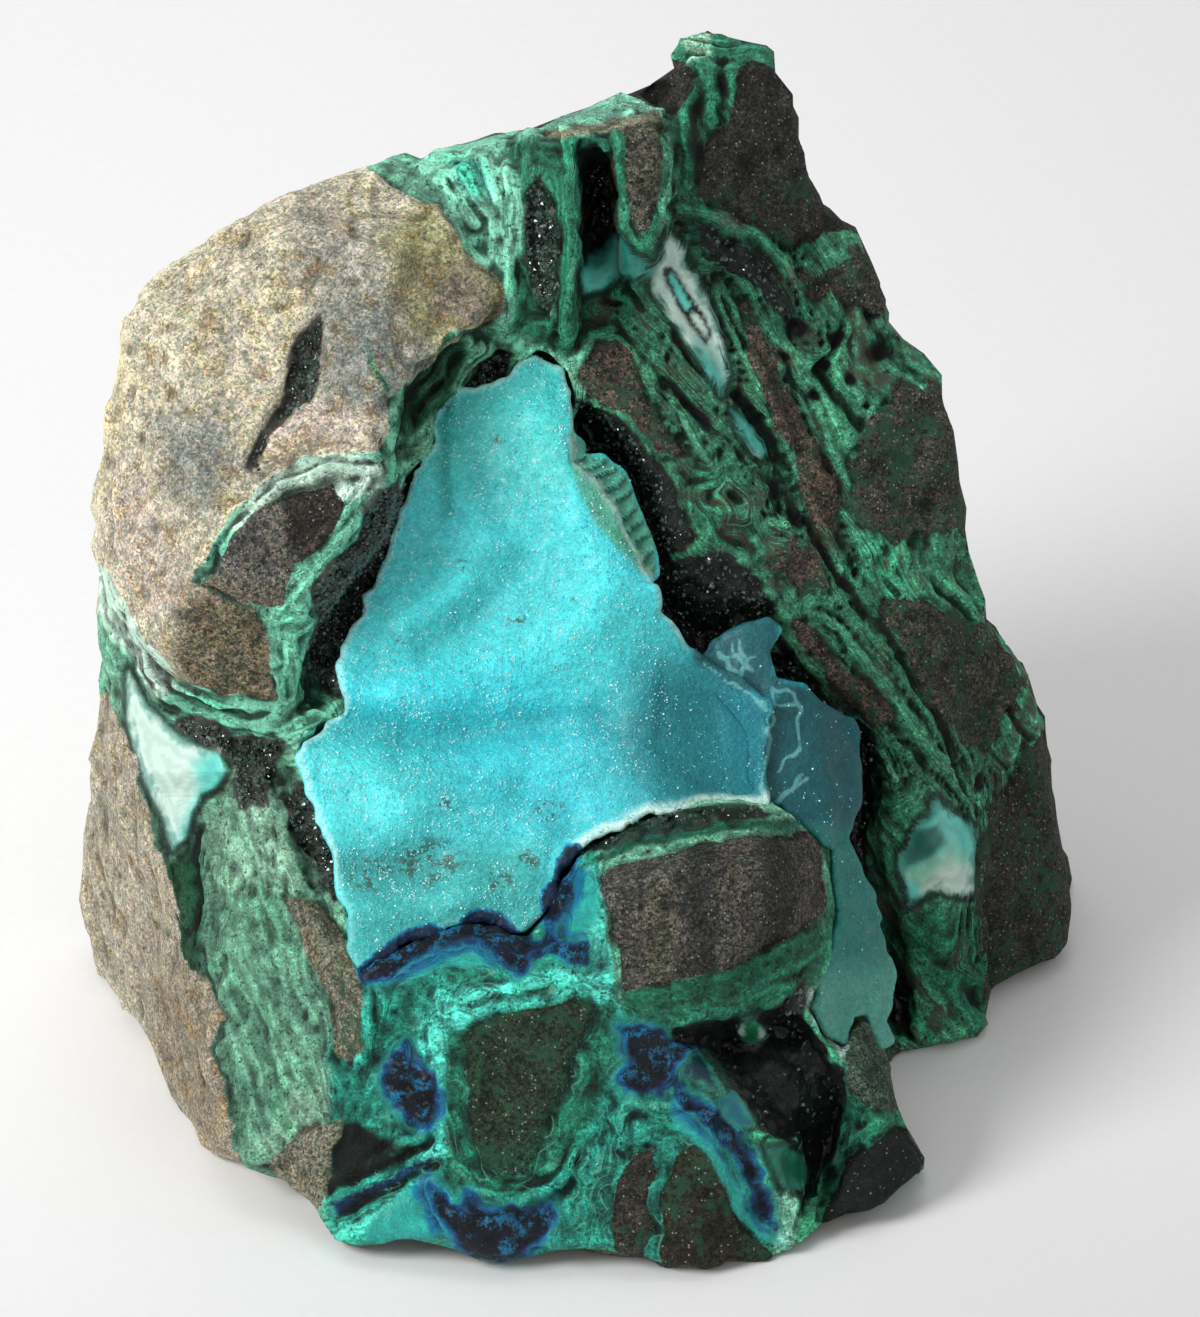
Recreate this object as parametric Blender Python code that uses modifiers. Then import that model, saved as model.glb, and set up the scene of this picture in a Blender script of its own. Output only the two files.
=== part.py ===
"""Chrysocolla specimen: a broken block of veined host rock with one chrysocolla crust in its open face.

Metres, +Z up, origin at the middle of the footprint on the surface that the rock stands on.
The rock is laid out in the face frame: x to the right, y up the broken face, z out of the face, in
millimetres. The face leans back, so the last step stands that frame up and turns it into metres.
"""

import math

import bmesh
import bpy
import numpy as np
from mathutils import Matrix, Vector, noise

# Driving dimensions, in millimetres unless the name says otherwise.
MM = 0.001
FACE_LEAN_DEG = 30.0  # how far the broken face leans back from upright
FOOT_DROP = 40.7  # height of the face frame's origin over the resting surface
BLOCK_BACK = -80.0  # every block starts this far behind the face
BLOCK_FRONT = 40.0  # and ends this far in front of it, before its facets are struck off
ROCK_GRAIN = 0.85  # cell of the even mesh that is carved
ROCK_TRIANGLES = 6400  # of the finished rock, before the crust is let into it
CRUST_THICKNESS = 2.0
CRUST_GRID = 3.0  # cell of the crust's surface
SEAT_GAP = 0.35  # left free round the crust, so that it only touches the rock

# A facet is a plane (x, y, z, rise in z for each mm of x, rise in z for each mm of y): what stands
# in front of it is struck off.
MAIN_OUTLINE = [
    (-30, -4), (-26, 30), (-24, 48.5), (-14.7, 50.5), (-7.7, 52), (-1.7, 54), (4.3, 56.5), (8, 58.5),
    (14, 60), (20, 56.5), (22, 52.5), (23, 48), (24.5, 45.5), (27.5, 44), (29.3, 39.5), (32.3, 32.5),
    (37.1, 28.8), (37.5, 23.5), (38.8, 16), (40.6, 6), (42, 1.5), (41.8, -8), (41.3, -16), (41.4, -37.4),
    (37.8, -38.2), (31.3, -39.8), (20, -45), (-10, -50), (-28, -46),
]
MAIN_FACETS = [
    (4, 26, 11, -0.45, 0.0),  # upper wall, right of the open face
    (38, -37, -12.5, -0.38, 0.4),  # lower wall
    (39, 5, -7, -1.6, 0.1),  # where the wall turns to the back
    (-5, 0, 15.5, -0.05, -0.17),  # bed of the crust
    (-5, 44, 9.5, -0.3, -0.5),  # crown
]
BACK_ROCK_OUTLINE = [
    (34, 8), (42.6, 1.8), (46.4, -4), (47.6, -12), (49.2, -19), (50.1, -24), (49.7, -30.4),
    (45.8, -31.6), (40.8, -33.2), (30, -32), (30, 0),
]
BACK_ROCK_FACETS = [(45, -20, -19, -0.9, 0.3), (48, -15, -20, -2.0, 0.2)]
CAP_OUTLINE = [
    (-48, 16), (-46.2, 26), (-45.2, 33), (-42.7, 37.5), (-38.7, 42.2), (-33.7, 46), (-28, 48.8),
    (-22.7, 51), (-15, 50.2), (-11, 42), (-7.6, 37), (-8.6, 33), (-15.5, 30.3), (-18.3, 25.5),
    (-18.7, 21), (-17.6, 17.5), (-19, 11.5), (-23, 7), (-26.5, 2), (-29, -3.2), (-33, -4.6),
    (-37, -3.4), (-42, 0.5), (-46, 6), (-47.8, 9),
]
CAP_FACETS = [
    (-30, 25, 21, 0.12, -0.18),
    (-42, 20, 16.5, 1.1, 0.0),
    (-46.5, 15, 9, 4.0, 0.0),
    (-38, 40, 13.5, 0.7, -0.9),
    (-22, 46, 13.5, 0.05, -1.1),
    (-33, 0, 18.5, 0.15, 0.6),
    (-14, 33, 18.5, -0.4, -0.1),
]
FLANK_OUTLINE = [
    (-50.3, -22), (-49.5, -14), (-48, -4), (-47.9, 8), (-40, 12), (-20, 8), (-20, -30),
    (-21.6, -45), (-24.8, -54.9), (-28.7, -52.2), (-32.5, -49.9), (-36.6, -48.4), (-38.5, -47.2),
    (-42.4, -39.4), (-44.7, -36), (-47.5, -32.9), (-49.6, -28.5),
]
FLANK_FACETS = [
    (-22, -30, 23.5, 0.72, -0.03),  # green face, seen from the front
    (-41.7, -19, 9.5, 3.7, 0.72),  # grey side
    (-30, -5, 17, 0.2, -0.9),  # step under the cap
]
FRONT_OUTLINE = [
    (-22.3, -30.3), (-19, -28.6), (-15, -26.6), (-11.5, -24.6), (-8.5, -24.8), (-5, -26.2),
    (-3.3, -24), (-1.8, -20.4), (0.5, -18), (4, -15.8), (7.5, -14.3), (12.3, -12.9), (17.5, -13.2),
    (21.5, -15), (24.3, -17.2), (25.3, -21), (25.4, -25), (24.6, -30), (22.9, -35), (24.2, -37.4),
    (26.4, -39.4), (27.2, -37.6), (27.9, -35.8), (29.1, -35.3), (30, -37), (30.9, -40.5),
    (31.3, -46.2), (35.4, -50.2), (32, -52.6), (28.3, -54.6), (22.8, -58.4), (18.3, -60.2),
    (12.3, -60.0), (7.3, -59.4), (2.3, -58.6), (-3.7, -58.4), (-8.7, -59.4), (-14.7, -57.3),
    (-19, -57.7), (-23.4, -58.3), (-25.2, -54.5), (-22.4, -45),
]
FRONT_FACETS = [
    (0, -35, 26, 0.0, 0.0),
    (18, -25, 24.5, -0.5, 0.05),
    (-20, -40, 24, 0.3, 0.0),
    (30, -50, 20.5, -0.5, 0.1),
]
RIB_OUTLINE = [
    (-15.5, 50.2), (-7.7, 52.4), (-1.7, 54), (0.3, 50), (0.1, 44), (-0.3, 36), (-0.5, 31.5),
    (-3.5, 33), (-6.5, 31.6), (-8.8, 33), (-8, 37.5), (-12, 43), (-16, 46.5),
]
RIB_FACETS = [(-1, 42, 16.3, 0.3, 0.22), (-8, 50, 13, 0.1, -1.3)]
TOOTH_OUTLINE = [
    (-1, 54.3), (4.3, 56.5), (8.2, 55.2), (8.7, 50), (8.5, 43), (7.8, 38.5), (6.3, 36.4), (4.8, 38),
    (4.3, 43), (4.0, 49), (2.8, 51), (-1.2, 51.5),
]
TOOTH_FACETS = [(6, 48, 14.5, -0.35, 0.12), (6, 53, 14, 0.0, -2.2)]
PEAK_OUTLINE = [
    (8.6, 48), (10.2, 56.5), (9.6, 60.3), (11.3, 62.5), (13.5, 62.4), (15.8, 61.8), (19.1, 60.8),
    (19.4, 58.2), (21.8, 55.5), (22.6, 51), (24.6, 45.5), (21, 39), (15, 34.5), (9.6, 38),
]
PEAK_FACETS = [(14, 50, 7.8, -0.5, 0.08), (14, 59, 8, -0.1, -1.4), (22, 50, 4.5, -1.6, -0.2)]

# Planes that shape the back, the sides and the foot, given upright: a point and the way it faces.
BACK_PLANES = [
    ((0, 40, 0), (0.10, 1.0, 0.12)),
    ((12, 31, 54), (0.05, 0.8, 0.6)),
    ((-43, 17, 0), (-0.85, 0.8, 0.1)),
    ((43, 24, -10), (0.85, 0.75, 0.25)),
    ((-30, 34, 22), (-0.5, 0.75, 0.7)),
    ((38, 28, 20), (0.8, 0.45, 0.35)),
]
FOOT_PLANES = [
    ((-46, -12, -38.6), (-0.6, -0.15, -1.0)),
    ((34, -38, -37.5), (0.5, -0.4, -1.0)),
    ((10, 38, -39.2), (0.1, 0.4, -1.0)),
]

# Outlines of what is carved into the face: (outline, depth below the surface, width of its bank).
HOLLOWS = {
    "left_groove_upper": (
        [(-17, 18.5), (-17.4, 12), (-20, 6.5), (-22.8, 1.5), (-24.3, -0.8), (-23.4, -4), (-26, -6.6),
         (-28, -4), (-27.8, 0), (-27, 3.8), (-24.2, 8), (-21.5, 12.5), (-19.5, 17)], 4.5, 2.0),
    "left_groove_lower": (
        [(-28.5, -9.2), (-26.2, -13), (-24.6, -19), (-23.3, -25), (-22.3, -29), (-24.2, -28),
         (-26.8, -22), (-28.8, -17), (-30.4, -12.8), (-31.5, -10.6), (-35.5, -10), (-34, -7.6),
         (-30, -7.2)], 4.0, 1.8),
    "crown_hollow": (
        [(0.6, 49.5), (2.8, 48.8), (3.6, 46), (3.4, 42), (1.6, 38.5), (0.4, 40), (0.2, 46)], 4.5, 1.2),
    "crown_almond": (
        [(-4.7, 48.5), (-2.9, 47), (-1.9, 43), (-1.9, 39), (-2.9, 34.5), (-4.7, 33.8), (-5.7, 37),
         (-5.9, 43)], 1.8, 1.4),
    "notch_over_crust": (
        [(-9.7, 29.7), (-7.7, 31.2), (-6.0, 30.4), (-7.2, 28), (-10, 26.3), (-12.2, 25.8)], 5.0, 1.2),
    "grotto": (
        [(8.8, -37.2), (14.3, -36), (20.8, -34.8), (22.8, -35.8), (25.2, -39.4), (27, -42),
         (28, -45), (28, -49), (25.8, -53), (23.2, -56.2), (21.8, -53), (20.8, -48), (18.3, -45.5),
         (15.8, -41.8), (12.3, -39.2)], 9.0, 3.0),
    "cap_scar": (
        [(-25.3, 34.8), (-24.8, 31.5), (-25.5, 27.5), (-26.5, 25.3), (-28.5, 23.6), (-30, 22.6),
         (-32, 18.8), (-33, 18.8), (-31.5, 22.8), (-29.4, 26), (-28.4, 31), (-26.7, 33.9)], 1.6, 0.9),
    "peak_gap": (
        [(4.8, 57), (8.8, 59), (9.8, 57), (10.4, 54), (10.2, 47), (8.9, 40), (8.6, 48), (8.6, 54.5)],
        4.0, 1.0),
    "wall_crack": (
        [(9.5, 38), (13, 33.5), (16.5, 28), (20, 21.5), (21.8, 15.5), (20.9, 15.2), (18.6, 20.5),
         (15, 27), (11.5, 32.2), (8.8, 37)], 2.2, 0.8),
    "wall_pit_upper": ([(12.8, 40.5), (17, 37.6), (22, 32.6), (21, 31.4), (16, 35), (12.4, 38.6)], 2.0, 1.2),
}
# The cleft between the crust and the right wall.
CLEFT_OUTLINE = [
    (-1.0, 25.0), (1.5, 25.2), (3.6, 23.4), (6.3, 20.3), (7.6, 16), (8.5, 10.4), (9.8, 6.6),
    (12.6, 4.6), (15.4, 5.6), (19.8, 5.2), (22.3, 0), (25.3, -2.6), (28.5, -4.8), (30.6, -8.5),
    (30.9, -13), (30.0, -18), (31, -22), (33, -27), (33.8, -32.5), (33.6, -38), (31.6, -38.8),
    (29, -33), (27, -26), (25, -20), (23, -10), (18, -5), (12, -1), (8, 4), (4, 12), (-1, 20),
]
CLEFT_BELOW_CRUST = 8.5
CLEFT_BELOW_WALL = 6.0
CLEFT_BANK = 1.8
# Small round pits in the green rock on the right wall: (x, y, radius, depth).
WALL_PITS = [
    (23.2, 31.8, 1.3, 1.6), (26.8, 28.6, 1.1, 1.4), (30.6, 31.2, 1.5, 2.0), (24.8, 27.6, 0.9, 1.2),
    (31.5, 24.5, 1.2, 1.5), (28.0, 34.5, 1.0, 1.2), (34.5, 25.5, 1.1, 1.6),
]
BOSS = (20.5, -42.5, 5.2, 4.6)  # rounded dark knob in the grotto: x, y, radius, height

# Outlines of the crust's own parts, and how far each lies behind the druse's surface.
DRUSE_OUTLINE = [
    (-3.7, 30.5), (-1.5, 28.8), (-0.4, 26), (-0.5, 22), (0.1, 19.5), (2.3, 17), (4.1, 13), (6.8, 9),
    (8.1, 5), (10.3, 1.5), (12.3, 0), (15.8, -2.5), (19.8, -5), (19.2, -8.5), (18.7, -12),
    (19.1, -14.2), (16.8, -13.8), (12.3, -13.7), (7.3, -15.2), (2.3, -17.6), (-0.2, -19.2),
    (-1.8, -21.8), (-3.3, -25), (-4.9, -27.0), (-8.7, -25.7), (-12.7, -25.9), (-15.7, -27.4),
    (-19.2, -29.3), (-21.8, -30), (-22.3, -26), (-23.7, -22), (-24.7, -17), (-26.2, -13),
    (-28.2, -10), (-25.2, -6.5), (-23.2, -4), (-23.7, -1), (-22.2, 2), (-19.7, 7), (-18.2, 10.5),
    (-17.2, 15), (-16.9, 18), (-14.2, 20.5), (-13.7, 24), (-12.5, 26), (-9.7, 26.6), (-7.2, 28.5),
]
BROKEN_EDGE_OUTLINE = [
    (12.4, -1.5), (13.4, 1.6), (16.0, 3.5), (18.8, 4.2), (20.0, 3.0), (18.9, 0.9), (19.4, -2.0),
    (22.6, -2.8), (24.2, -4.6), (27.4, -6.0), (28.0, -9.5), (28.2, -13), (27.6, -16), (26.9, -17.8),
    (24.6, -18.8), (22.2, -15.8), (19.6, -13.8), (17.5, -12), (17.5, -7),
]
FOOT_TONGUE_OUTLINE = [
    (24.6, -16.4), (27.2, -17.4), (28.3, -20.5), (29.8, -24), (30.4, -27.5), (31.3, -31),
    (31.6, -34), (30.7, -35.6), (31.8, -37.6), (30.3, -38.6), (28.9, -34.9), (27.4, -35.2),
    (26.3, -38.4), (24.4, -36.9), (23.2, -34.6), (25.0, -30), (25.8, -25), (25.6, -20.6),
]
LEAF_OUTLINE = [
    (-0.9, 22.3), (0.8, 21.8), (1.1, 20.1), (2.9, 20.2), (4.9, 18.4), (6.1, 15.2), (7.6, 12),
    (8.0, 8.8), (6.2, 8.6), (2.0, 14.0), (-0.8, 19.0),
]
# Each plate of the crust: its outline, and how far its front lies behind the druse's surface.
PLATES = [
    (DRUSE_OUTLINE, 0.0), (BROKEN_EDGE_OUTLINE, 1.3), (FOOT_TONGUE_OUTLINE, 1.3), (LEAF_OUTLINE, 1.5),
]
LIP_BELOW = -12.0  # under this height on the face, the rock rises gently from the crust's edge
LIP_RISE = 1.1


# ---------------------------------------------------------------- measuring in the face frame


def inside_depth(points, outline):
    """How far each point lies inside a closed outline; negative outside it."""
    start = np.array(outline, float)
    step = np.roll(start, -1, axis=0) - start
    nearest = np.full(len(points), 1e9)
    inside = np.zeros(len(points), bool)
    for (ax, ay), (dx, dy) in zip(start, step):
        px, py = points[:, 0] - ax, points[:, 1] - ay
        along = np.clip((px * dx + py * dy) / (dx * dx + dy * dy), 0, 1)
        nearest = np.minimum(nearest, np.hypot(px - along * dx, py - along * dy))
        if dy:
            crossed = (ay > points[:, 1]) != (ay + dy > points[:, 1])
            inside ^= crossed & (px < dx * py / dy)
    return np.where(inside, nearest, -nearest)


def eased(value, width):
    """0 below zero, 1 above width, and a smooth bank between."""
    t = np.clip(value / width, 0, 1)
    return t * t * (3 - 2 * t)


def druse_surface(x, y):
    """Height of the crust's front: a shallow bowl that turns away to the right and wells up in folds."""
    bed = 16.0 - 0.22 * y - 0.06 * x - 0.6 * np.clip(x - 17, 0, None) - 0.6 * np.clip(x - 24, 0, None)
    bowl = 2.4 * np.exp(-(((x + 4) / 13) ** 2 + ((y + 6) / 17) ** 2))
    trough = 1.5 * np.exp(-(((y + 6.5 - 0.25 * (x + 12)) / 3.6) ** 2 + ((x + 12) / 9) ** 2))
    swell = 1.5 * np.exp(-(((x - 4) / 8) ** 2 + ((y - 4) / 10) ** 2))
    shoulder = 1.0 * np.exp(-(((x + 17) / 7) ** 2 + ((y + 15) / 6) ** 2))
    return bed - bowl - trough + swell + shoulder


def inside_crust(points):
    """How far each point lies inside the nearest plate of the crust; negative outside them all."""
    return np.max([inside_depth(points, outline) for outline, _ in PLATES], axis=0)


# ---------------------------------------------------------------- making and cutting solids


def stand_up():
    """Turns the face frame, in mm, into the upright frame, in metres, before it is centred."""
    return Matrix.Scale(MM, 4) @ Matrix.Rotation(math.radians(90 - FACE_LEAN_DEG), 4, "X")


def link(name, mesh, collection):
    made = bpy.data.objects.new(name, mesh)
    collection.objects.link(made)
    return made


def baked(obj, modifiers=()):
    """Gives the object the mesh that its modifiers make, and drops them."""
    for kind, settings in modifiers:
        modifier = obj.modifiers.new(kind, kind)
        for key, value in settings.items():
            setattr(modifier, key, value)
    graph = bpy.context.evaluated_depsgraph_get()
    mesh = bpy.data.meshes.new_from_object(obj.evaluated_get(graph))
    obj.modifiers.clear()
    obj.data = mesh
    return obj


def prism(name, outline, low, high, collection):
    """A flat outline pushed out along z from low to high, as a mesh."""
    curve = bpy.data.curves.new(name, "CURVE")
    curve.dimensions = "2D"
    curve.fill_mode = "BOTH"
    curve.extrude = (high - low) / 2
    spline = curve.splines.new("POLY")
    spline.points.add(len(outline) - 1)
    for point, (x, y) in zip(spline.points, outline):
        point.co = (x, y, 0, 1)
    spline.use_cyclic_u = True
    drawn = link(name, curve, collection)
    drawn.location.z = (high + low) / 2
    bpy.context.view_layer.update()
    graph = bpy.context.evaluated_depsgraph_get()
    mesh = bpy.data.meshes.new_from_object(drawn.evaluated_get(graph))
    mesh.transform(drawn.matrix_world)
    bpy.data.objects.remove(drawn)
    welded = bmesh.new()
    welded.from_mesh(mesh)
    bmesh.ops.remove_doubles(welded, verts=welded.verts, dist=0.001)
    bmesh.ops.recalc_face_normals(welded, faces=welded.faces)
    welded.to_mesh(mesh)
    welded.free()
    return link(name, mesh, collection)


def strike_off(obj, planes):
    """Cuts away what lies in front of each plane, a point and a normal, and closes the cut."""
    body = bmesh.new()
    body.from_mesh(obj.data)
    for point, normal in planes:
        every = body.verts[:] + body.edges[:] + body.faces[:]
        bmesh.ops.bisect_plane(body, geom=every, plane_co=point, plane_no=normal, clear_outer=True)
        rim = [edge for edge in body.edges if edge.is_boundary]
        bmesh.ops.holes_fill(body, edges=rim)
        bmesh.ops.triangulate(body, faces=body.faces)
    bmesh.ops.recalc_face_normals(body, faces=body.faces)
    body.to_mesh(obj.data)
    body.free()
    return obj


def facet_plane(facet):
    x, y, z, rise_x, rise_y = facet
    return Vector((x, y, z)), Vector((-rise_x, -rise_y, 1))


def upright_plane(plane):
    """A plane given upright, as the face frame has it."""
    lie_down = Matrix.Rotation(math.radians(FACE_LEAN_DEG - 90), 3, "X")
    return tuple(lie_down @ Vector(value) for value in plane)


def foot_plane():
    return upright_plane(((0, 0, -FOOT_DROP), (0, 0, -1)))


def block(name, outline, facets, collection):
    """One broken block: its outline as seen on the face, and its struck facets."""
    solid = prism(name, outline, BLOCK_BACK, BLOCK_FRONT, collection)
    return strike_off(solid, [facet_plane(facet) for facet in facets])


def joined(base, others, operation="UNION"):
    for other in others:
        baked(base, [("BOOLEAN", {"object": other, "operation": operation, "solver": "EXACT"})])
        bpy.data.objects.remove(other)
    return base


def remeshed(obj, cell):
    """One even skin round everything that the object holds, without the crumbs that come loose."""
    baked(obj, [("REMESH", {"mode": "VOXEL", "voxel_size": cell})])
    return largest_body(obj)


def largest_body(obj):
    """Drops every loose body but the one with the most vertices."""
    body = bmesh.new()
    body.from_mesh(obj.data)
    left, bodies = set(body.verts), []
    while left:
        reached = [left.pop()]
        for vertex in reached:
            near = {edge.other_vert(vertex) for edge in vertex.link_edges} & left
            left -= near
            reached.extend(near)
        bodies.append(reached)
    bodies.sort(key=len)
    crumbs = [vertex for reached in bodies[:-1] for vertex in reached]
    bmesh.ops.delete(body, geom=crumbs, context="VERTS")
    body.to_mesh(obj.data)
    body.free()
    return obj


# ---------------------------------------------------------------- carving the rock


def rough(place):
    """Relief of a broken rock: blunt lumps, chips between them and a fine tooth, in mm."""
    lumps = noise.fractal(place / 17.0, 0.9, 2.1, 3, noise_basis="PERLIN_ORIGINAL")
    near, second = noise.voronoi(place / 9.0)[0][:2]
    chips = min(second - near, 0.45)
    tooth = noise.fractal(place / 3.2, 1.0, 2.0, 2, noise_basis="PERLIN_ORIGINAL")
    return 0.9 * lumps + 1.3 * (chips - 0.3) + 0.25 * tooth


def banding(x, y):
    """Ridges of the right wall, which run down it from upper left to lower right, in mm."""
    across, along = 0.83 * x + 0.56 * y, 0.56 * x - 0.83 * y
    return 1.5 * noise.noise(Vector((across / 4.5, along / 30.0, 3.0)))


def roughen(mesh, share):
    """Moves each vertex along its normal by the rock's relief; share is how much of it each gets."""
    normals = [vertex.normal.copy() for vertex in mesh.vertices]
    for vertex, normal, part in zip(mesh.vertices, normals, share):
        vertex.co += normal * (rough(vertex.co) * part)


def carve(obj):
    """Roughens the rock, then sinks the hollows, the cleft and the pits into its open face."""
    mesh = obj.data
    count = len(mesh.vertices)
    points = np.empty(count * 3)
    mesh.vertices.foreach_get("co", points)
    points = points.reshape(-1, 3)
    near_crust = eased(inside_depth(points[:, :2], DRUSE_OUTLINE) + 6, 6)
    roughen(mesh, 1 - 0.75 * near_crust)
    mesh.vertices.foreach_get("co", points.reshape(-1))
    normals = np.empty(count * 3)
    mesh.vertices.foreach_get("normal", normals)
    outward = eased(normals.reshape(-1, 3)[:, 2] - 0.05, 0.35)
    flat = points[:, :2]
    for outline, depth, bank in HOLLOWS.values():
        points[:, 2] -= outward * depth * eased(inside_depth(flat, outline) + bank / 3, bank)
    for x, y, radius, depth in WALL_PITS:
        points[:, 2] -= outward * depth * eased(radius - np.hypot(flat[:, 0] - x, flat[:, 1] - y), radius)
    x, y, radius, height = BOSS
    reach = np.clip(1 - (np.hypot(flat[:, 0] - x, flat[:, 1] - y) / radius) ** 2, 0, None)
    points[:, 2] += outward * height * np.sqrt(reach)
    wall = outward * eased(flat[:, 0] - 4 + 0.25 * flat[:, 1], 5.0) * eased(flat[:, 1] + 38, 4.0)
    wall *= 1 - eased(inside_depth(flat, FRONT_OUTLINE) + 2, 1.0)
    points[:, 2] += wall * [banding(x, y) for x, y in flat]
    covered = inside_crust(flat)
    druse = druse_surface(flat[:, 0], flat[:, 1])
    sink = outward * eased(inside_depth(flat, CLEFT_OUTLINE) + CLEFT_BANK / 3, CLEFT_BANK)
    sink *= 1 - eased(covered - 0.2, 1.2)
    points[:, 2] += sink * np.minimum(druse - CLEFT_BELOW_CRUST - points[:, 2], -CLEFT_BELOW_WALL)
    lip = druse + LIP_RISE * np.clip(-covered - SEAT_GAP, 0, None)
    low = eased(LIP_BELOW - flat[:, 1], 3.0) * (points[:, 2] > 5)
    points[:, 2] += low * np.minimum(lip - points[:, 2], 0)
    mesh.vertices.foreach_set("co", points.reshape(-1))
    mesh.update()
    return obj


def host_rock(collection):
    """All blocks as one piece, carved, thinned to few faces and cut flat at the foot."""
    blocks = [
        ("host_rock", MAIN_OUTLINE, MAIN_FACETS),
        ("back_rock", BACK_ROCK_OUTLINE, BACK_ROCK_FACETS),
        ("cap", CAP_OUTLINE, CAP_FACETS),
        ("flank", FLANK_OUTLINE, FLANK_FACETS),
        ("front", FRONT_OUTLINE, FRONT_FACETS),
        ("rib", RIB_OUTLINE, RIB_FACETS),
        ("tooth", TOOTH_OUTLINE, TOOTH_FACETS),
        ("peak", PEAK_OUTLINE, PEAK_FACETS),
    ]
    pile = bmesh.new()
    for entry in blocks:
        solid = block(*entry, collection)
        pile.from_mesh(solid.data)
        bpy.data.objects.remove(solid)
    mesh = bpy.data.meshes.new("host_rock")
    pile.to_mesh(mesh)
    pile.free()
    rock = remeshed(link("host_rock", mesh, collection), ROCK_GRAIN)
    strike_off(rock, [upright_plane(plane) for plane in BACK_PLANES + FOOT_PLANES])
    carve(remeshed(rock, ROCK_GRAIN))
    remeshed(rock, ROCK_GRAIN)
    rock.data.calc_loop_triangles()
    kept = ROCK_TRIANGLES / len(rock.data.loop_triangles)
    baked(rock, [("DECIMATE", {"ratio": kept})])
    return strike_off(rock, [foot_plane()])


# ---------------------------------------------------------------- the crust and its seat


def grown(outline, by):
    """The outline with every side moved outwards by the same amount; it runs clockwise or not."""
    corners = np.array(outline, float)
    side = np.roll(corners, -1, axis=0) - corners
    turn = np.sign(np.sum(corners[:, 0] * np.roll(corners[:, 1], -1) - corners[:, 1] * np.roll(corners[:, 0], -1)))
    out = np.stack([side[:, 1], -side[:, 0]], axis=1) * turn
    out /= np.linalg.norm(out, axis=1)[:, None]
    mitre = out + np.roll(out, 1, axis=0)
    mitre /= np.maximum(np.sum(mitre * out, axis=1), 0.35)[:, None]
    return [tuple(corner) for corner in corners + mitre * by]


def plate(name, outline, margin, step, back, front, collection):
    """One plate: its outline grown by the margin, from back behind the druse's surface to step
    behind it, or to a flat front at the given height."""
    edge = grown(outline, margin)
    low, high = np.min(edge, axis=0) - 1.5, np.max(edge, axis=0) + 1.5
    cells = np.ceil((high - low) / CRUST_GRID).astype(int)
    sheet = bmesh.new()
    bmesh.ops.create_grid(sheet, x_segments=int(cells[0]), y_segments=int(cells[1]), size=0.5)
    for vertex in sheet.verts:
        vertex.co.x = low[0] + (vertex.co.x + 0.5) * (high[0] - low[0])
        vertex.co.y = low[1] + (vertex.co.y + 0.5) * (high[1] - low[1])
    bmesh.ops.triangulate(sheet, faces=sheet.faces)
    under = sheet.verts[:]
    surface = druse_surface(*np.array([vertex.co[:2] for vertex in under]).T)
    copied = bmesh.ops.duplicate(sheet, geom=sheet.verts[:] + sheet.edges[:] + sheet.faces[:])
    over = [copied["vert_map"][vertex] for vertex in under]
    for below, above, height in zip(under, over, surface):
        below.co.z = height - back
        above.co.z = height - step if front is None else front
    rims = [edge for edge in sheet.edges if edge.is_boundary]
    bmesh.ops.bridge_loops(sheet, edges=rims)
    bmesh.ops.recalc_face_normals(sheet, faces=sheet.faces)
    mesh = bpy.data.meshes.new(name)
    sheet.to_mesh(mesh)
    sheet.free()
    cookie = prism(f"{name}_outline", edge, -30, 60, collection)
    return joined(link(name, mesh, collection), [cookie], "INTERSECT")


def crust_shape(name, margin, gap, front, collection):
    """All plates in one: the druse, its broken edge, the tongue at its foot and the leaf."""
    made = [
        plate(f"{name}_{number}", outline, margin, step, step + CRUST_THICKNESS + gap, front, collection)
        for number, (outline, step) in enumerate(PLATES)
    ]
    made[0].name = name
    return joined(made[0], made[1:])


def main():
    for obj in list(bpy.data.objects):
        bpy.data.objects.remove(obj)
    specimen = bpy.data.collections.new("chrysocolla_specimen")
    bpy.context.scene.collection.children.link(specimen)

    crust = crust_shape("chrysocolla_crust", 0.0, 0.0, None, specimen)
    seat = crust_shape("crust_seat", SEAT_GAP, SEAT_GAP, BLOCK_FRONT + 5, specimen)
    rock = largest_body(joined(host_rock(specimen), [seat], "DIFFERENCE"))

    upright = stand_up()
    for piece in (rock, crust):
        piece.data.transform(upright)
    corners = np.array([vertex.co for vertex in rock.data.vertices])
    middle = (corners.min(axis=0) + corners.max(axis=0)) / 2
    centre = Matrix.Translation((-middle[0], -middle[1], FOOT_DROP * MM))
    for piece, colour, gloss in ((rock, (0.10, 0.16, 0.12), 0.85), (crust, (0.05, 0.55, 0.62), 0.35)):
        piece.data.transform(centre)
        material = bpy.data.materials.new(piece.name)
        material.use_nodes = True
        shader = material.node_tree.nodes["Principled BSDF"]
        shader.inputs["Base Color"].default_value = (*colour, 1)
        shader.inputs["Roughness"].default_value = gloss
        shader.inputs["Metallic"].default_value = 0.0
        piece.data.materials.clear()
        piece.data.materials.append(material)
    print("face frame origin at", tuple(round(value, 5) for value in centre.translation))


main()
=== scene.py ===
"""Looks of the chrysocolla specimen: veined host rock, druse-covered crust, its crystals and the stage.

Everything is laid out in the face frame of the broken face, in millimetres: x to the right, y up the
face, z out of it. Outlines are given as the face is seen from the front. The finished pieces are
stood up into the row frame, in metres.
"""

import itertools
import math

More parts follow.
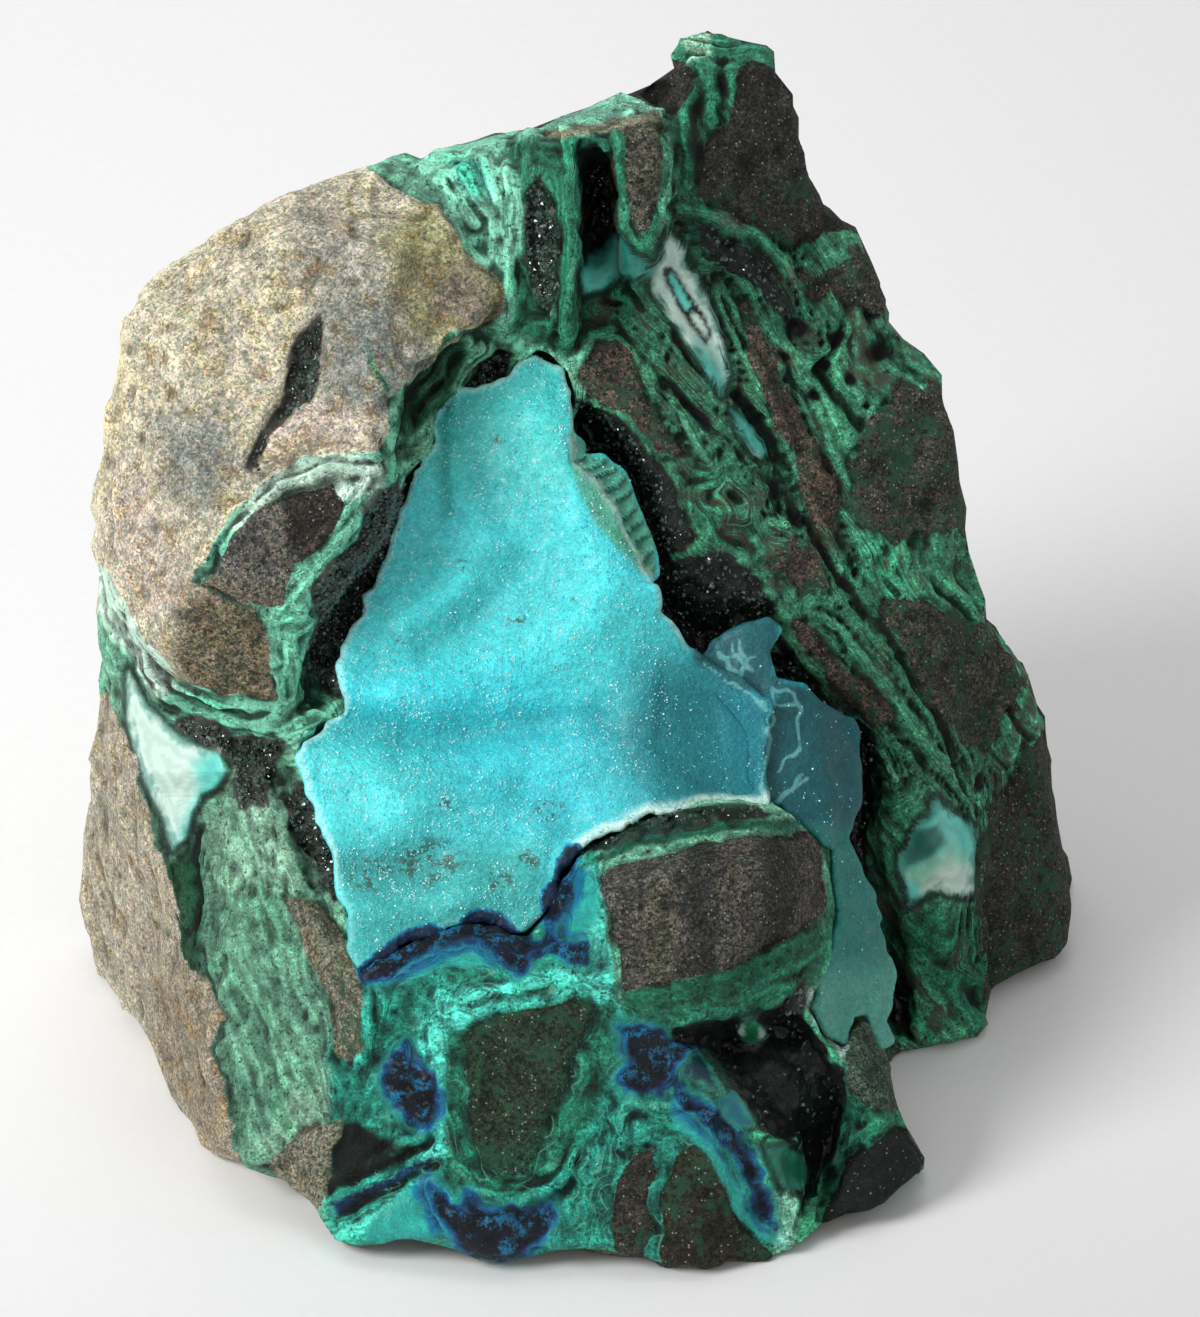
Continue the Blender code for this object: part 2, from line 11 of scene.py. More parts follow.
import bmesh
import bpy
import numpy as np
from bpy.props import FloatProperty, FloatVectorProperty, IntProperty, PointerProperty
from mathutils import Matrix, Vector


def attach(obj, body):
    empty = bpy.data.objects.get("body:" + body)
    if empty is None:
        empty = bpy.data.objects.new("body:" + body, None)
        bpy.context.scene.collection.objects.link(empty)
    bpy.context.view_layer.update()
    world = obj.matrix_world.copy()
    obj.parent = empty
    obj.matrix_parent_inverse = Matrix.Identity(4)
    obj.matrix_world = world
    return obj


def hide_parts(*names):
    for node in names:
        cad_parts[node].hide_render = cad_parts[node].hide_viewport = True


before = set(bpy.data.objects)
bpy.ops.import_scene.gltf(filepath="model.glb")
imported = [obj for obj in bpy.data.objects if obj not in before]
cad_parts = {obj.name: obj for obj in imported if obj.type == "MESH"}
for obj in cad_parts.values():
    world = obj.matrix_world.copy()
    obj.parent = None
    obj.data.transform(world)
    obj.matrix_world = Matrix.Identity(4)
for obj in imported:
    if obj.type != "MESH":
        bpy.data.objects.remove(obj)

bl_info = {
    "name": "Chrysocolla specimen",
    "version": (1, 0, 0),
    "blender": (4, 5, 0),
    "location": "View3D > Sidebar > Specimen",
    "description": "Builds the veined rock, its blue crust, the crystals on them and the stage",
    "category": "Object",
}

MM = 0.001
FACE_ORIGIN = (-0.00012, 0.00274, 0.0407)  # of the face frame, in the row frame
FACE_LEAN = math.radians(30)
EYE_GAP = 2000.0  # from the face to where its outlines are seen from
EYE_AIM = (2.3, 0.15)
FAR_OUT = 8.0  # depth given to what lies well outside an outline, in mm
LIGHT_AIM = (0, 0, 0.04)
FLOOR_HALF = 4.0  # of the floor's side, in metres
SENSOR = 36.0  # width of the camera's sensor, in mm
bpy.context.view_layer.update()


def shade(code):
    """A linear colour from a six-digit hex code."""
    parts = [int(code[i:i + 2], 16) / 255 for i in (0, 2, 4)]
    return tuple(p / 12.92 if p <= 0.04045 else ((p + 0.055) / 1.055) ** 2.4 for p in parts)


# Shades of the stones and the minerals.
SHADES = {
    # stones
    "tan": "E4DCC2", "warm_grey": "C0BCAE", "slate_grey": "A2A69C", "olive": "BCB88C",
    "blush": "DED0C0", "straw": "F0E2B4", "low_brown": "7C745E", "pepper": "6C6A62", "umber": "38342C",
    "side_grey": "C2BAA6", "putty": "A69C88", "wedge_grey": "82826E", "cocoa": "55524B",
    "moss_stone": "2B3B29", "ochre": "2C281A", "wall_brown": "5C5247", "wall_umber": "45453A",
    "back_grey": "3A3A30", "peak_grey": "34342F", "tooth_grey": "5A5A4C", "ledge_sand": "9AA08A",
    "fin_green": "44584A",
    # malachite and chrysocolla veins
    "mint": "7CC0A0", "pale_mint": "D0EEDA", "ledge_mint": "86CCB0", "sugar": "C4E6DA",
    "leaf": "76CAAA", "fold": "1F5B3C", "mallard": "2C8464", "wall_green": "4A9A76",
    "wall_light": "4CB88C", "wall_deep": "247A5E", "flank_green": "74B092", "flank_pale": "96C8AA",
    "sea": "2AA08A", "sea_grey": "228468", "jade": "1A6A50", "turquoise": "54DEC8", "lagoon": "5AD6BA",
    "peak_green": "308466", "crown_green": "96EACA",
    # the rest
    "night": "0E1A15", "milk": "BED8CC", "milk_teal": "5CC8BA", "glass_green": "1E6E62",
    "flap_blue": "042A38", "flake_aqua": "125E6A", "bottle_green": "147048", "lining_grey": "4C524A",
    "lining_green": "1C3A2C", "pocket_brown": "2E271E", "moss_edge": "1F4A36", "ink": "08160F",
    "ink_blue": "0A2C50", "scar_grey": "625F56",
}
SHADE = {name: shade(code) for name, code in SHADES.items()}

# Stones: shade, and outline on the face.
STONES = [
    ("tan", [(-23, 60), (-22, 49.5), (-19, 48), (-17, 46.5), (-15.5, 45.5), (-14, 45.5), (-12.5, 43.5),
             (-10.7, 40.5), (-8.5, 39), (-7.3, 37), (-7.3, 35.5), (-9, 33.5), (-12.5, 32.5),
             (-14.5, 30.2), (-16, 28.5), (-18.7, 26.2), (-18.9, 22.5), (-20, 20.8), (-27, 20.2),
             (-30, 18.4), (-34, 15.4), (-36.4, 12), (-38.4, 8), (-36, 6.2), (-32, 5), (-31, 2),
             (-30.5, -1), (-30, -4.2), (-34, -3.6), (-37, -2.6), (-40, -2), (-42, 0.4), (-44, 4),
             (-46.3, 8), (-56, 20), (-58, 45), (-40, 62)]),
    ("pepper", [(-38, 7.5), (-36, 9.5), (-34.5, 12), (-33, 14.5), (-30, 15.5), (-27, 16.8), (-24, 17.5),
                (-23.5, 15.5), (-24.5, 13), (-26, 11), (-28.5, 9.5), (-29, 7), (-29.5, 5), (-33, 5.5)]),
    ("side_grey", [(-44, -10), (-43.5, -14), (-42.5, -17), (-41, -21), (-40, -25), (-39.7, -29),
                   (-38.5, -30.5), (-36.5, -33), (-35.3, -35.5), (-36.5, -39.5), (-35, -42),
                   (-35, -45), (-33.5, -50), (-60, -60), (-60, -8), (-47, -4), (-45.5, -7)]),
    ("wedge_grey", [(-29.5, -23.5), (-26, -24.5), (-23.5, -28), (-22, -30), (-21.8, -35), (-21.7, -39),
                    (-22.5, -40.5), (-24, -39), (-25, -34), (-27, -29.5)]),
    ("wedge_grey", [(-31, -50), (-27, -46.5), (-23, -45.3), (-23.6, -48), (-24.5, -50), (-25.2, -53),
                    (-27, -56)]),
    ("cocoa", [(2.6, -21.5), (4.5, -20.5), (10, -19), (15, -17.8), (20, -17.5), (23.8, -17.5),
               (24.7, -20), (24.8, -24.5), (22.5, -27), (19, -29), (14.5, -31), (10, -32),
               (5, -33.5), (4.5, -31), (3.8, -27), (2.5, -23.5)]),
    ("moss_stone", [(-11.5, -38), (-9.5, -36.5), (-6, -35), (-3, -34.5), (0, -34), (2, -34.5),
                    (1, -37), (0, -40), (-1, -43), (-2.5, -46), (-4, -49), (-5, -51.5),
                    (-7, -51.8), (-9, -51), (-10.5, -48), (-10.5, -44), (-11, -40)]),
    ("umber", [(6, -49.5), (7.5, -49), (8, -51), (7, -54), (8, -57), (6.5, -60), (4.5, -62),
               (3.5, -56.5), (4, -53), (5, -51)]),
    ("ochre", [(10, -49.5), (12, -48.5), (14, -49.5), (15, -52), (15.3, -55), (17.5, -57.5),
               (20.5, -60), (17, -64), (8, -62), (8.8, -57), (8.5, -53), (9.5, -51)]),
    ("night", [(26.5, -50), (30, -48.2), (32, -46.5), (38, -50.2), (34, -58), (28, -59),
                    (24, -57.5), (25.8, -53)]),
    ("fin_green", [(27, -36.5), (28, -34.5), (29.5, -34.5), (30.5, -37), (32, -39.5), (33, -43),
                   (32.5, -45.5), (29, -44.5), (27, -43), (26.8, -39)]),
    ("tooth_grey", [(4.5, 53.5), (8.5, 54.0), (8.4, 50), (8.2, 46), (7.6, 43.6), (6.2, 42.8),
                    (5.2, 44.5), (4.7, 48)]),
    ("ledge_sand", [(-3, 53.0), (1, 53.4), (4, 54.0), (8, 54.9), (8.6, 53.5), (6, 53.0), (2, 52.5),
                    (-3, 52.2)]),
    ("peak_grey", [(5, 56.6), (8, 60), (10.2, 60.2), (11.7, 59.2), (11, 56), (10, 54.6), (9, 54),
                   (8.3, 55.4)]),
    ("peak_grey", [(15.8, 58), (17, 60), (19.5, 59), (26, 57), (27, 50), (30, 45), (27, 44),
                   (24, 43), (21.5, 40.8), (17.5, 42.8), (14, 45.2), (12.4, 46.4), (12.2, 51),
                   (13.5, 52.5), (15.5, 53.5), (15.8, 56)]),
    ("wall_brown", [(1.5, 31), (4, 32), (6, 29), (9, 24), (11.5, 20.5), (8, 20), (5, 24.5),
                    (1, 26.5), (0.5, 29)]),
    ("wall_brown", [(15.5, 36), (17.5, 36.3), (20, 30.5), (22, 25), (24.5, 21), (25.5, 17),
                    (26, 13), (24, 14), (21.5, 20), (18.5, 27)]),
    ("wall_brown", [(19.5, 12.5), (21.5, 13.2), (24, 10), (25, 7), (22, 6.5), (19.5, 9.5)]),
    ("wall_brown", [(21, 4), (24.5, 2.5), (28.5, -2.5), (31, -6), (30, -7), (26, -4), (22.5, 1)]),
    ("wall_umber", [(29.5, 5.5), (32, 6.5), (36, 6), (41, 4), (46, -2), (41, -9.5), (38, -7.5),
                    (35, -3.5), (32, 1)]),
    ("wall_umber", [(31, 10.5), (34, 13), (44, 12), (42, 26), (33.5, 27.5), (29.5, 24.5),
                    (27.5, 19), (28, 13)]),
    ("wall_umber", [(22, 38.5), (26, 40), (33, 42), (40, 33), (35.5, 30.5), (31, 34.5),
                    (27, 36.5), (24, 36)]),
    ("back_grey", [(41, -14), (43, -12), (45.5, -8), (50, -6), (60, -20), (56, -36), (41.2, -33.5),
                   (40.6, -24)]),
]
# Changes of shade inside the stones: shade, outline, width of its soft edge.
STONE_PATCHES = [
    ("straw", [(-47, 38), (-38, 44), (-30, 50), (-20, 54), (-36, 60), (-60, 40), (-56, 10),
               (-48, 16), (-45, 30)], 5.0),
    ("warm_grey", [(-27, 46), (-16, 42), (-13, 33), (-16, 29), (-24, 34), (-29, 40)], 5.0),
    ("slate_grey", [(-42, 24), (-36, 25), (-33, 20), (-37, 14), (-42, 17)], 5.0),
    ("slate_grey", [(-26, 36), (-18, 36), (-16, 29), (-18, 24.5), (-24, 23.5), (-26, 28)], 3.0),
    ("olive", [(-20, 42), (-15, 46.5), (-6, 36.5), (-8, 32.5), (-14, 31), (-17, 33)], 4.0),
    ("putty", [(-15, 38), (-11, 39.5), (-7, 35), (-10, 33), (-14, 34)], 3.0),
    ("blush", [(-31, 23.5), (-27, 26), (-21, 25.5), (-19.5, 22), (-26, 21.5), (-31, 20)], 2.5),
    ("blush", [(-46, 20), (-42, 16), (-38, 6), (-43, 4), (-47, 12)], 4.0),
    ("low_brown", [(-40, 7), (-36.5, 8), (-30, 5.5), (-29.5, -5), (-40, -4), (-41, 1)], 4.5),
    ("umber", [(-29.5, 17.5), (-23, 19), (-23, 14), (-26, 9.5), (-28.3, 9.5)], 1.2),
    ("putty", [(-42, -30), (-33, -28), (-32, -52), (-44, -48)], 6.0),
    ("mallard", [(-21.4, 31.9), (-20.8, 31.6), (-19.9, 29.4), (-18.4, 26.8), (-18.8, 26.6),
                 (-20.3, 29)], 0.5),
    ("peak_grey", [(11, -15), (14, -15), (14, -33), (11, -33)], 2.0),
    ("peak_grey", [(18.5, -15), (21.5, -15), (21.5, -33), (18.5, -33)], 2.5),
    ("tooth_grey", [(7, -17), (9.6, -17), (9.6, -33), (7, -33)], 1.6),
    ("moss_edge", [(1, -36), (2.5, -34), (1, -41), (-2, -49), (-5, -53), (-9, -52), (-6.5, -49.5), (-3, -46),
                   (-1.4, -41)], 2.0),
]
# Green veins: shade, outline, width of its soft edge. Later ones lie over earlier ones.
VEIN_PATCHES = [
    ("wall_green", [(0, 34), (9, 46), (30, 50), (50, 30), (56, -40), (30, -40), (25, -16), (12, 2),
                    (6, 14), (0, 24)], 2.0),
    ("peak_green", [(9, 64), (24, 64), (24, 40), (10, 40)], 2.0),
    ("crown_green", [(-26, 60), (9, 60), (9, 40), (0, 30), (-8, 31), (-8, 38), (-14, 46)], 1.5),
    ("mallard", [(-7, 52), (9, 54), (9, 36), (-1, 30), (-7, 33), (-5.5, 44)], 2.0),
    ("flank_green", [(-44, -10), (-30, -8), (-24, -20), (-22, -44), (-26, -56), (-42, -52)], 2.0),
    ("flank_pale", [(-35, -11), (-29, -13), (-24, -24), (-31, -22), (-36, -24), (-37, -18)], 3.0),
    ("flank_pale", [(-30, -49), (-25, -45.5), (-22, -44), (-23, -42), (-28, -43), (-33, -49)], 1.5),
    ("sea", [(-24, -27), (-4, -27), (2, -18), (4, -34), (12, -40), (22, -60), (-26, -62)], 1.5),
    ("sea_grey", [(-13, -34), (-4, -31), (4, -32), (4, -40), (0, -49), (-6, -54), (-13, -52),
                  (-14, -42)], 1.5),
    ("turquoise", [(-14, -33), (-6, -31.4), (2, -30.5), (2, -33.4), (-6, -34.8), (-13, -37.4),
                   (-13.5, -50), (-15.5, -50), (-16, -38)], 1.0),
    ("turquoise", [(0.2, -19.5), (2.6, -20.5), (3, -27), (4, -34), (2, -34.5), (0, -31), (1, -26)], 0.8),
    ("jade", [(4.5, -33.5), (10, -32), (16, -30.5), (20, -28.5), (24.5, -25), (24.5, -29),
              (21, -32), (17, -34), (12, -35.5), (8, -36.8), (4.5, -36.6)], 0.6),
    ("jade", [(1, -20.5), (8, -18.4), (16, -16.9), (24, -17.4), (24, -16.4), (16, -15.6), (5, -17.8)], 0.6),
    ("leaf", [(-42, 12), (-36, 20), (-20, 23), (-17, 18), (-22, 10), (-30, 3), (-36, 8)], 1.2),
    ("pale_mint", [(-35, 13.6), (-31, 18.6), (-24, 20.8), (-19.4, 19.8), (-19.6, 16.6), (-23, 15.8),
                   (-28, 16.4), (-33, 12.5)], 1.0),
    ("leaf", [(-31, 5), (-26, 5), (-24, -5), (-30, -8.5), (-42, -4), (-30, -2.5)], 1.0),
    ("leaf", [(-44, 2), (-41, -1), (-34, -4.3), (-30, -4.8), (-24, -4), (-25, -7.6), (-30, -8.4), (-37, -7),
              (-43, -4)], 1.0),
    ("pale_mint", [(-49, 14), (-44, 5), (-41.5, -0.6), (-39.6, -3), (-42, -4), (-49, 6)], 1.0),
    ("fold", [(-41.2, -21), (-38.6, -17.6), (-37.4, -20), (-37.2, -27), (-37.6, -31), (-39, -32.6),
              (-40.4, -28)], 1.0),
    ("wall_light", [(9, -37), (16, -35.5), (24, -30), (26, -16), (34, -34), (40, -50), (30, -62), (19, -62),
                    (19.5, -54), (12, -43)], 1.5),
    ("wall_deep", [(4.5, -36.2), (12, -35), (17, -33.6), (21, -31.6), (24.6, -28), (25.4, -18), (26.4, -25),
                   (24.6, -31), (22, -35), (15, -37), (8, -38)], 0.6),
    ("wall_deep", [(25.4, -42), (33, -43.6), (35, -49), (29, -49), (24.5, -57), (24.4, -50)], 1.6),
    ("sugar", [(22.2, -33.2), (23.4, -34.8), (25, -37.4), (26.6, -40.4), (27.2, -38), (25.4, -35),
               (23.4, -32.6)], 0.6),
    ("ledge_mint", [(19.6, -53), (21.4, -52.8), (22.2, -56), (21.4, -60), (19.6, -59)], 0.6),
    ("fold", [(-16.5, 29), (-13, 32.5), (-11, 31.5), (-12.5, 26), (-17, 22), (-18.5, 23.5)], 0.8),
    ("wall_light", [(27, 11), (31, 13), (33.5, 8), (32, 5.5), (30, 7)], 1.5),
    ("wall_light", [(12, 20), (16, 18), (18, 11), (14, 11), (12, 14)], 2.0),
    ("wall_deep", [(31, -10), (33, -30), (41.5, -38), (42, -24), (39, -25), (34, -25), (32, -22)], 2.5),
    ("wall_deep", [(19, 40), (24, 37), (24, 30), (20, 33)], 2.0),
    ("flank_pale", [(10.2, 63.5), (13.5, 63), (13.2, 60.4), (11.3, 59.8)], 0.8),
    ("lagoon", [(-13, 50.4), (-9.6, 50), (-8.6, 47), (-10.4, 46), (-12, 48)], 1.6),
    ("ink", [(-23.6, -45.6), (-21, -46.6), (-18.4, -48.2), (-16.6, -48.4), (-20, -50.8), (-24.9, -52)], 0.8),
    ("ink", [(-25.6, -52.2), (-19, -49.9), (-14.7, -47.4), (-14.7, -48.3), (-19, -50.9),
             (-25.2, -53.5)], 0.3),
    ("ink_blue", [(-25, -54.4), (-19, -51.9), (-14.6, -49.3), (-14.4, -50.5), (-19, -53.2),
                  (-24, -55.8)], 0.4),
    ("ink", [(-23.4, -56.2), (-19, -54.2), (-19, -54.8), (-22.6, -57)], 0.3),
    ("turquoise", [(-24.4, -57.6), (-22, -57.6), (-14, -53), (-14.6, -52.3), (-23.4, -56.4)], 0.4),
    ("ink", [(11.4, 58.4), (12.6, 55), (12.4, 50), (11.6, 47), (11.2, 52)], 1.0),
    ("ink", [(14.4, 59.8), (15.2, 57), (14.8, 54.6), (13.8, 57)], 0.8),
    ("ledge_mint", [(-6, 57), (8, 58), (8, 54.4), (-6, 52.6)], 0.6),
]
# Dark hollows lined with fine crystals: shade and outline.
DARKS = [
    ("lining_grey", [(-17.5, 18), (-20, 17), (-21, 15), (-22, 12), (-25, 9.5), (-27, 7), (-26, 4),
                     (-27, 1.5), (-27.5, -1), (-25, -3), (-23.5, -4), (-22, -1.5), (-22, 2),
                     (-20, 6.5), (-18, 10.5), (-16.5, 15)]),
    ("lining_grey", [(-40, -5.5), (-36, -6), (-34.5, -7.6), (-29, -8), (-30, -10.5), (-31, -14.5),
                     (-34, -15), (-34.5, -10.5), (-37, -9), (-40, -7)]),
    ("lining_grey", [(-28, -12), (-26, -13), (-25, -16), (-24, -20), (-23, -24), (-24.5, -24.5),
                     (-26.5, -20), (-29, -17), (-29, -14)]),
    ("night", [(0.3, 26), (4, 24.5), (6, 22.5), (8, 20.5), (10, 17), (11.5, 14), (12, 12), (9, 10),
               (8.5, 6), (5, 8), (4, 14), (0, 18), (0, 22.5)]),
    ("night", [(6, 9), (9, 10), (14, 11), (18, 9), (19.5, 6), (19.5, 2), (18.5, 0), (15, 0),
               (12, -2), (8, 2)]),
    ("night", [(18.5, 1), (20.5, 1.5), (23, -1), (25, -3.5), (27, -5.5), (29, -6.5), (30, -9),
               (30, -13), (29.3, -17), (28.5, -22), (31, -29), (33.5, -33), (33.5, -36), (31, -36),
               (29, -30), (26, -21), (26, -10), (22, -4), (17, -2)]),
    ("night", [(9.5, -37.1), (11.9, -36.3), (15.3, -35.9), (18.7, -35.1), (21.4, -33.4), (23.2, -31.2),
               (22.8, -35.1), (24.2, -37.4), (25.2, -40.2), (26.7, -40.8), (26.9, -43.9), (26.5, -47),
               (25.5, -50), (23.5, -52.8), (22.1, -55.1), (21.8, -52.4), (22.5, -50), (21.4, -48),
               (18.4, -47.3), (17.5, -45.6), (15.7, -42.9), (14.3, -40.8), (12.9, -38.8), (10.2, -38.1)]),
    ("pocket_brown", [(0.7, 50), (3.6, 50), (4, 47), (3.8, 43), (2.4, 41.6), (0.9, 42), (0.5, 46)]),
    ("night", [(12, 43.5), (13.5, 43.8), (16, 41.5), (19.5, 40), (20.5, 37.5), (22, 34.5), (20, 34),
               (17.5, 38), (15, 38.3), (12.7, 41)]),
    ("lining_green", [(0, -18.6), (4, -16.9), (9, -15.1), (15, -14.1), (18.5, -14.5), (19.8, -15.6),
                      (16, -16), (10, -17), (5, -18.3), (1, -19.6)]),
    ("scar_grey", [(-25.1, 34.6), (-25.4, 31), (-25.6, 27.6), (-26.4, 25.6), (-28.4, 24.6), (-30, 23),
                   (-31.2, 20.8), (-32.2, 18.6), (-33, 18.8), (-32.2, 21.6), (-31, 23.8), (-29.6, 25.8),
                   (-28.9, 28.2), (-28.6, 30.6), (-28, 32.2), (-27, 32.8), (-26.2, 34)]),
    ("night", [(-9.7, 29.7), (-7.7, 31.2), (-6.0, 30.4), (-7.2, 28), (-10, 26.3), (-12.2, 25.8)]),
    ("lining_green", [(-4.2, 49.3), (-2, 46), (-1.4, 42), (-2, 37), (-3, 33.8), (-4.2, 36), (-5.2, 40),
                      (-5.6, 44), (-5.2, 47.5)]),
]
AZURES = [
    [(-21.9, -30.6), (-20.6, -29.6), (-19, -28.3), (-17, -26.9), (-14.7, -26.3), (-12.9, -27.1),
     (-12.3, -27.3), (-11.9, -26.3), (-11.2, -25.3), (-9.7, -24.8), (-7.6, -25.2), (-6.2, -26.5),
     (-5, -27.8), (-3.4, -28.2), (-2.6, -26.6), (-3.7, -24.8), (-3.5, -23), (-2.4, -21.7),
     (-2.1, -19.9), (-1.2, -18.5), (0.2, -18.2), (0.6, -19), (-0.4, -21.7), (-0.7, -24.3), (-2, -26.3),
     (-1.4, -28), (1, -28.3), (1, -30.3), (-0.7, -30.3), (-3, -29), (-4.7, -29.7), (-4.7, -31),
     (-6, -31.7), (-7, -30.7), (-8, -29.3), (-10.4, -28.3), (-13.7, -29), (-16.4, -30.3),
     (-18.7, -31.7), (-19.7, -32.3), (-21.7, -32.3)],
    [(-19.5, -41.5), (-18, -39.5), (-17, -38), (-16, -40.5), (-14.5, -41), (-13.5, -43),
     (-13.8, -46), (-15, -47.3), (-16.5, -46.5), (-18, -45), (-19, -43.5)],
    [(-11.5, -55), (-11, -53), (-10, -54.5), (-8, -55), (-5, -55), (-2.8, -54), (-2, -55.5),
     (-3, -57.5), (-6, -60), (-9, -61), (-12, -59), (-14, -55.5), (-15, -53), (-14.5, -52),
     (-12.5, -54.5)],
    [(4.1, -36.8), (8.2, -36.9), (9.5, -38.1), (11.9, -38.5), (10, -41.2), (9.2, -42.2), (8.2, -43.2),
     (5.3, -43), (4.1, -41.5), (5.4, -40.2), (4.4, -38.8)],
    [(9.6, -42.2), (13, -44.4), (15.9, -47), (18, -50.4), (19.2, -53.4), (19.8, -56.4), (18.4, -55.6),
     (17.2, -52.4), (15.6, -49.4), (13, -46.8), (10, -44.2)],
]
SKIES = [
    [(-21.5, -57.5), (-16, -52), (-14.5, -51), (-14.8, -54), (-12, -56.5), (-17, -59)],
    [(-18.7, -31.7), (-16.4, -30.3), (-13.7, -29), (-10.4, -28.3), (-8.2, -29), (-8, -30.7), (-10.4, -30.7),
     (-13.4, -30.7), (-15.7, -32), (-18.7, -32.2)],
    [(0, -20.7), (2, -21.3), (2.3, -25.3), (1, -27.7), (-1.4, -27.7), (-1.4, -26), (-0.4, -24)],
    [(9.2, -43.8), (12.3, -46.6), (14.8, -49.8), (16.2, -52.6), (17.8, -56), (21, -58.6), (18.5, -58),
     (15.6, -55), (14.6, -52), (12.8, -49.4), (9.6, -46.6)],
]
MILKS = [
    [(-45, -1), (-43, -4.6), (-41, -6.6), (-39, -8.2), (-36, -9.3), (-35, -11), (-36, -12.5),
     (-37.5, -13.5), (-38.5, -15.5), (-39, -17.5), (-40.5, -19), (-41.5, -16), (-42.5, -14),
     (-43.5, -11.5), (-44.2, -9), (-45, -6)],
    [(9.2, 42.9), (10.4, 41.8), (11.6, 39.2), (12.8, 36.8), (14.2, 33.6), (14.8, 31), (15.2, 28.4),
     (14.6, 26.8), (13.4, 28.2), (11.8, 30.6), (10.2, 32.6), (8.6, 35), (7.4, 37), (6.9, 39), (8.2, 40)],
    [(0.2, 38.5), (0.8, 36.6), (2.5, 37), (4, 38), (5.5, 38.2), (7, 38.6), (6.8, 40), (5.5, 40.6),
     (4.6, 42.2), (3.4, 43), (2.8, 41.5), (1.2, 40.6)],
    [(15.5, 25.2), (16.7, 24.5), (19.2, 20.5), (18, 20.3), (16, 23)],
    [(15.6, -37.2), (16.2, -38.4), (17.4, -38.9), (18.6, -38.4), (19.2, -37.2), (18.6, -36), (17.4, -35.6),
     (16.2, -36)],
    [(35.7, -13.6), (37.4, -15.1), (39.9, -16.8), (39.9, -23.2), (38.2, -23.6), (36.1, -23.2), (33.2, -24.6),
     (32.5, -21.5), (32.3, -19.4), (34, -16.4), (35.3, -15.1)],
    [(10, -41.2), (11.9, -39), (13.3, -40.2), (15, -43.6), (12.6, -42.5)],
    [(13.8, -43.9), (15.7, -43), (17, -44.9), (17.7, -46.6), (16.3, -47.1), (14.6, -46)],
    [(19, -49), (21, -48.6), (23, -49.6), (23.6, -52), (22.4, -53.4), (20.4, -52.6), (19.6, -51)],
]
# Deeper tints inside the milky windows, a painted light in the crown's slot and painted highlights on the
# green boss: shade, outline, width of its soft edge.
MILK_PATCHES = [
    ("milk_teal", [(-36, -8.5), (-38.5, -10.5), (-38, -13), (-40.5, -19), (-36, -15), (-34, -10)], 2.0),
    ("milk_teal", [(12, 32), (14, 30), (16, 26), (12, 27)], 2.0),
    # Painted light: the window's part down in the crown's slot is tinted lighter to make up for the slot's
    # shade.
    ("milk_teal", [(-1, 45), (4.1, 45), (4.1, 35), (-1, 35)], 0.8),
    ("glass_green", [(4, 44), (8, 43), (7.6, 37.4), (4, 35)], 1.0),
    ("ink", [(8.6, 39.2), (9.4, 39.4), (10.8, 37.4), (12.6, 34.8), (13.5, 32.4), (12.9, 31.3),
             (11.3, 33.3), (9.7, 35.8), (8.8, 37.6)], 0.35),
    ("milk_teal", [(9.1, 38.4), (9.5, 38.6), (10.6, 36.9), (11.3, 35.5), (10.8, 34.9), (9.6, 36.8)], 0.3),
    ("milk", [(11.7, 34.8), (12.5, 33.8), (13.1, 32.5), (12.8, 32), (11.7, 33.5), (11.2, 34.3)], 0.3),
    ("milk_teal", [(14, 27), (20, 22), (20, 19), (15, 23)], 1.0),
    ("ledge_mint", [(30, -12), (42, -12), (42, -22), (37, -20), (30, -27)], 2.0),
    ("milk_teal", [(31, -13), (36.6, -13), (38, -16), (36.8, -19), (33, -21), (31, -20)], 1.0),
    ("glass_green", [(32.3, -19.4), (34, -16.8), (36.2, -16.4), (36.8, -18.4), (35.2, -19.8),
                     (33, -20.6)], 0.8),
    ("milk_teal", [(31, -21.8), (34, -22.2), (34.6, -25), (32, -25.6)], 0.8),
    ("milk_teal", [(37.4, -18.4), (40.5, -21), (40.5, -16), (37, -14.6)], 2.0),
    ("bottle_green", [(14, -40), (21, -40), (21, -34), (14, -34)], 0.5),
    # The two small pale spots on the green boss are painted highlights.
    ("milk", [(16.0, -36.6), (16.6, -36.4), (16.7, -37.6), (16.1, -37.8)], 0.3),
    ("milk", [(18.2, -36.5), (18.8, -36.7), (18.6, -37.8), (18.1, -37.7)], 0.3),
    ("flap_blue", [(8, -44), (8, -37), (15, -37), (17, -43), (13.4, -46)], 0.4),
    ("flake_aqua", [(13.5, -44), (15.7, -42), (19, -44.4), (18.6, -48), (14, -48)], 0.4),
    ("jade", [(18, -48), (24.4, -48), (24.4, -54), (18, -54)], 0.5),
]
# Where the green veins grew in small buds.
BUDDED = [
    [(-24, -27), (-4, -27), (2, -18), (4, -34), (12, -40), (22, -60), (-26, -62)],
    [(12, 20), (18, 20.5), (20, 16), (19.5, 9), (15, 8), (12, 11)],
    [(-32, -18), (-27, -18), (-26, -23), (-31, -24)],
]
# The green slab of the left flank, whose threads run down it.
FLANK = [(-43, -12), (-30, -12), (-26, -24), (-21, -40), (-24, -50), (-34, -52), (-36, -40)]
# Round pits of the right wall: middle and radius.
PITS = [
    (30.1, 30.9, 1.1), (26, 31.9, 1.2), (22.3, 33.2, 1.2), (24.6, 29.2, 0.8), (27.4, 28, 0.8),
    (34.3, 19.4, 0.8), (32.6, 26.2, 0.6), (23.7, 26.3, 0.6), (38.6, 27.6, 0.8), (28.9, 25.4, 0.6),
    (36.2, 22.8, 0.6), (32.8, 14.4, 0.6), (37.6, 16.4, 0.7), (20.6, 30.2, 0.6), (29.6, 34.6, 0.7),
]
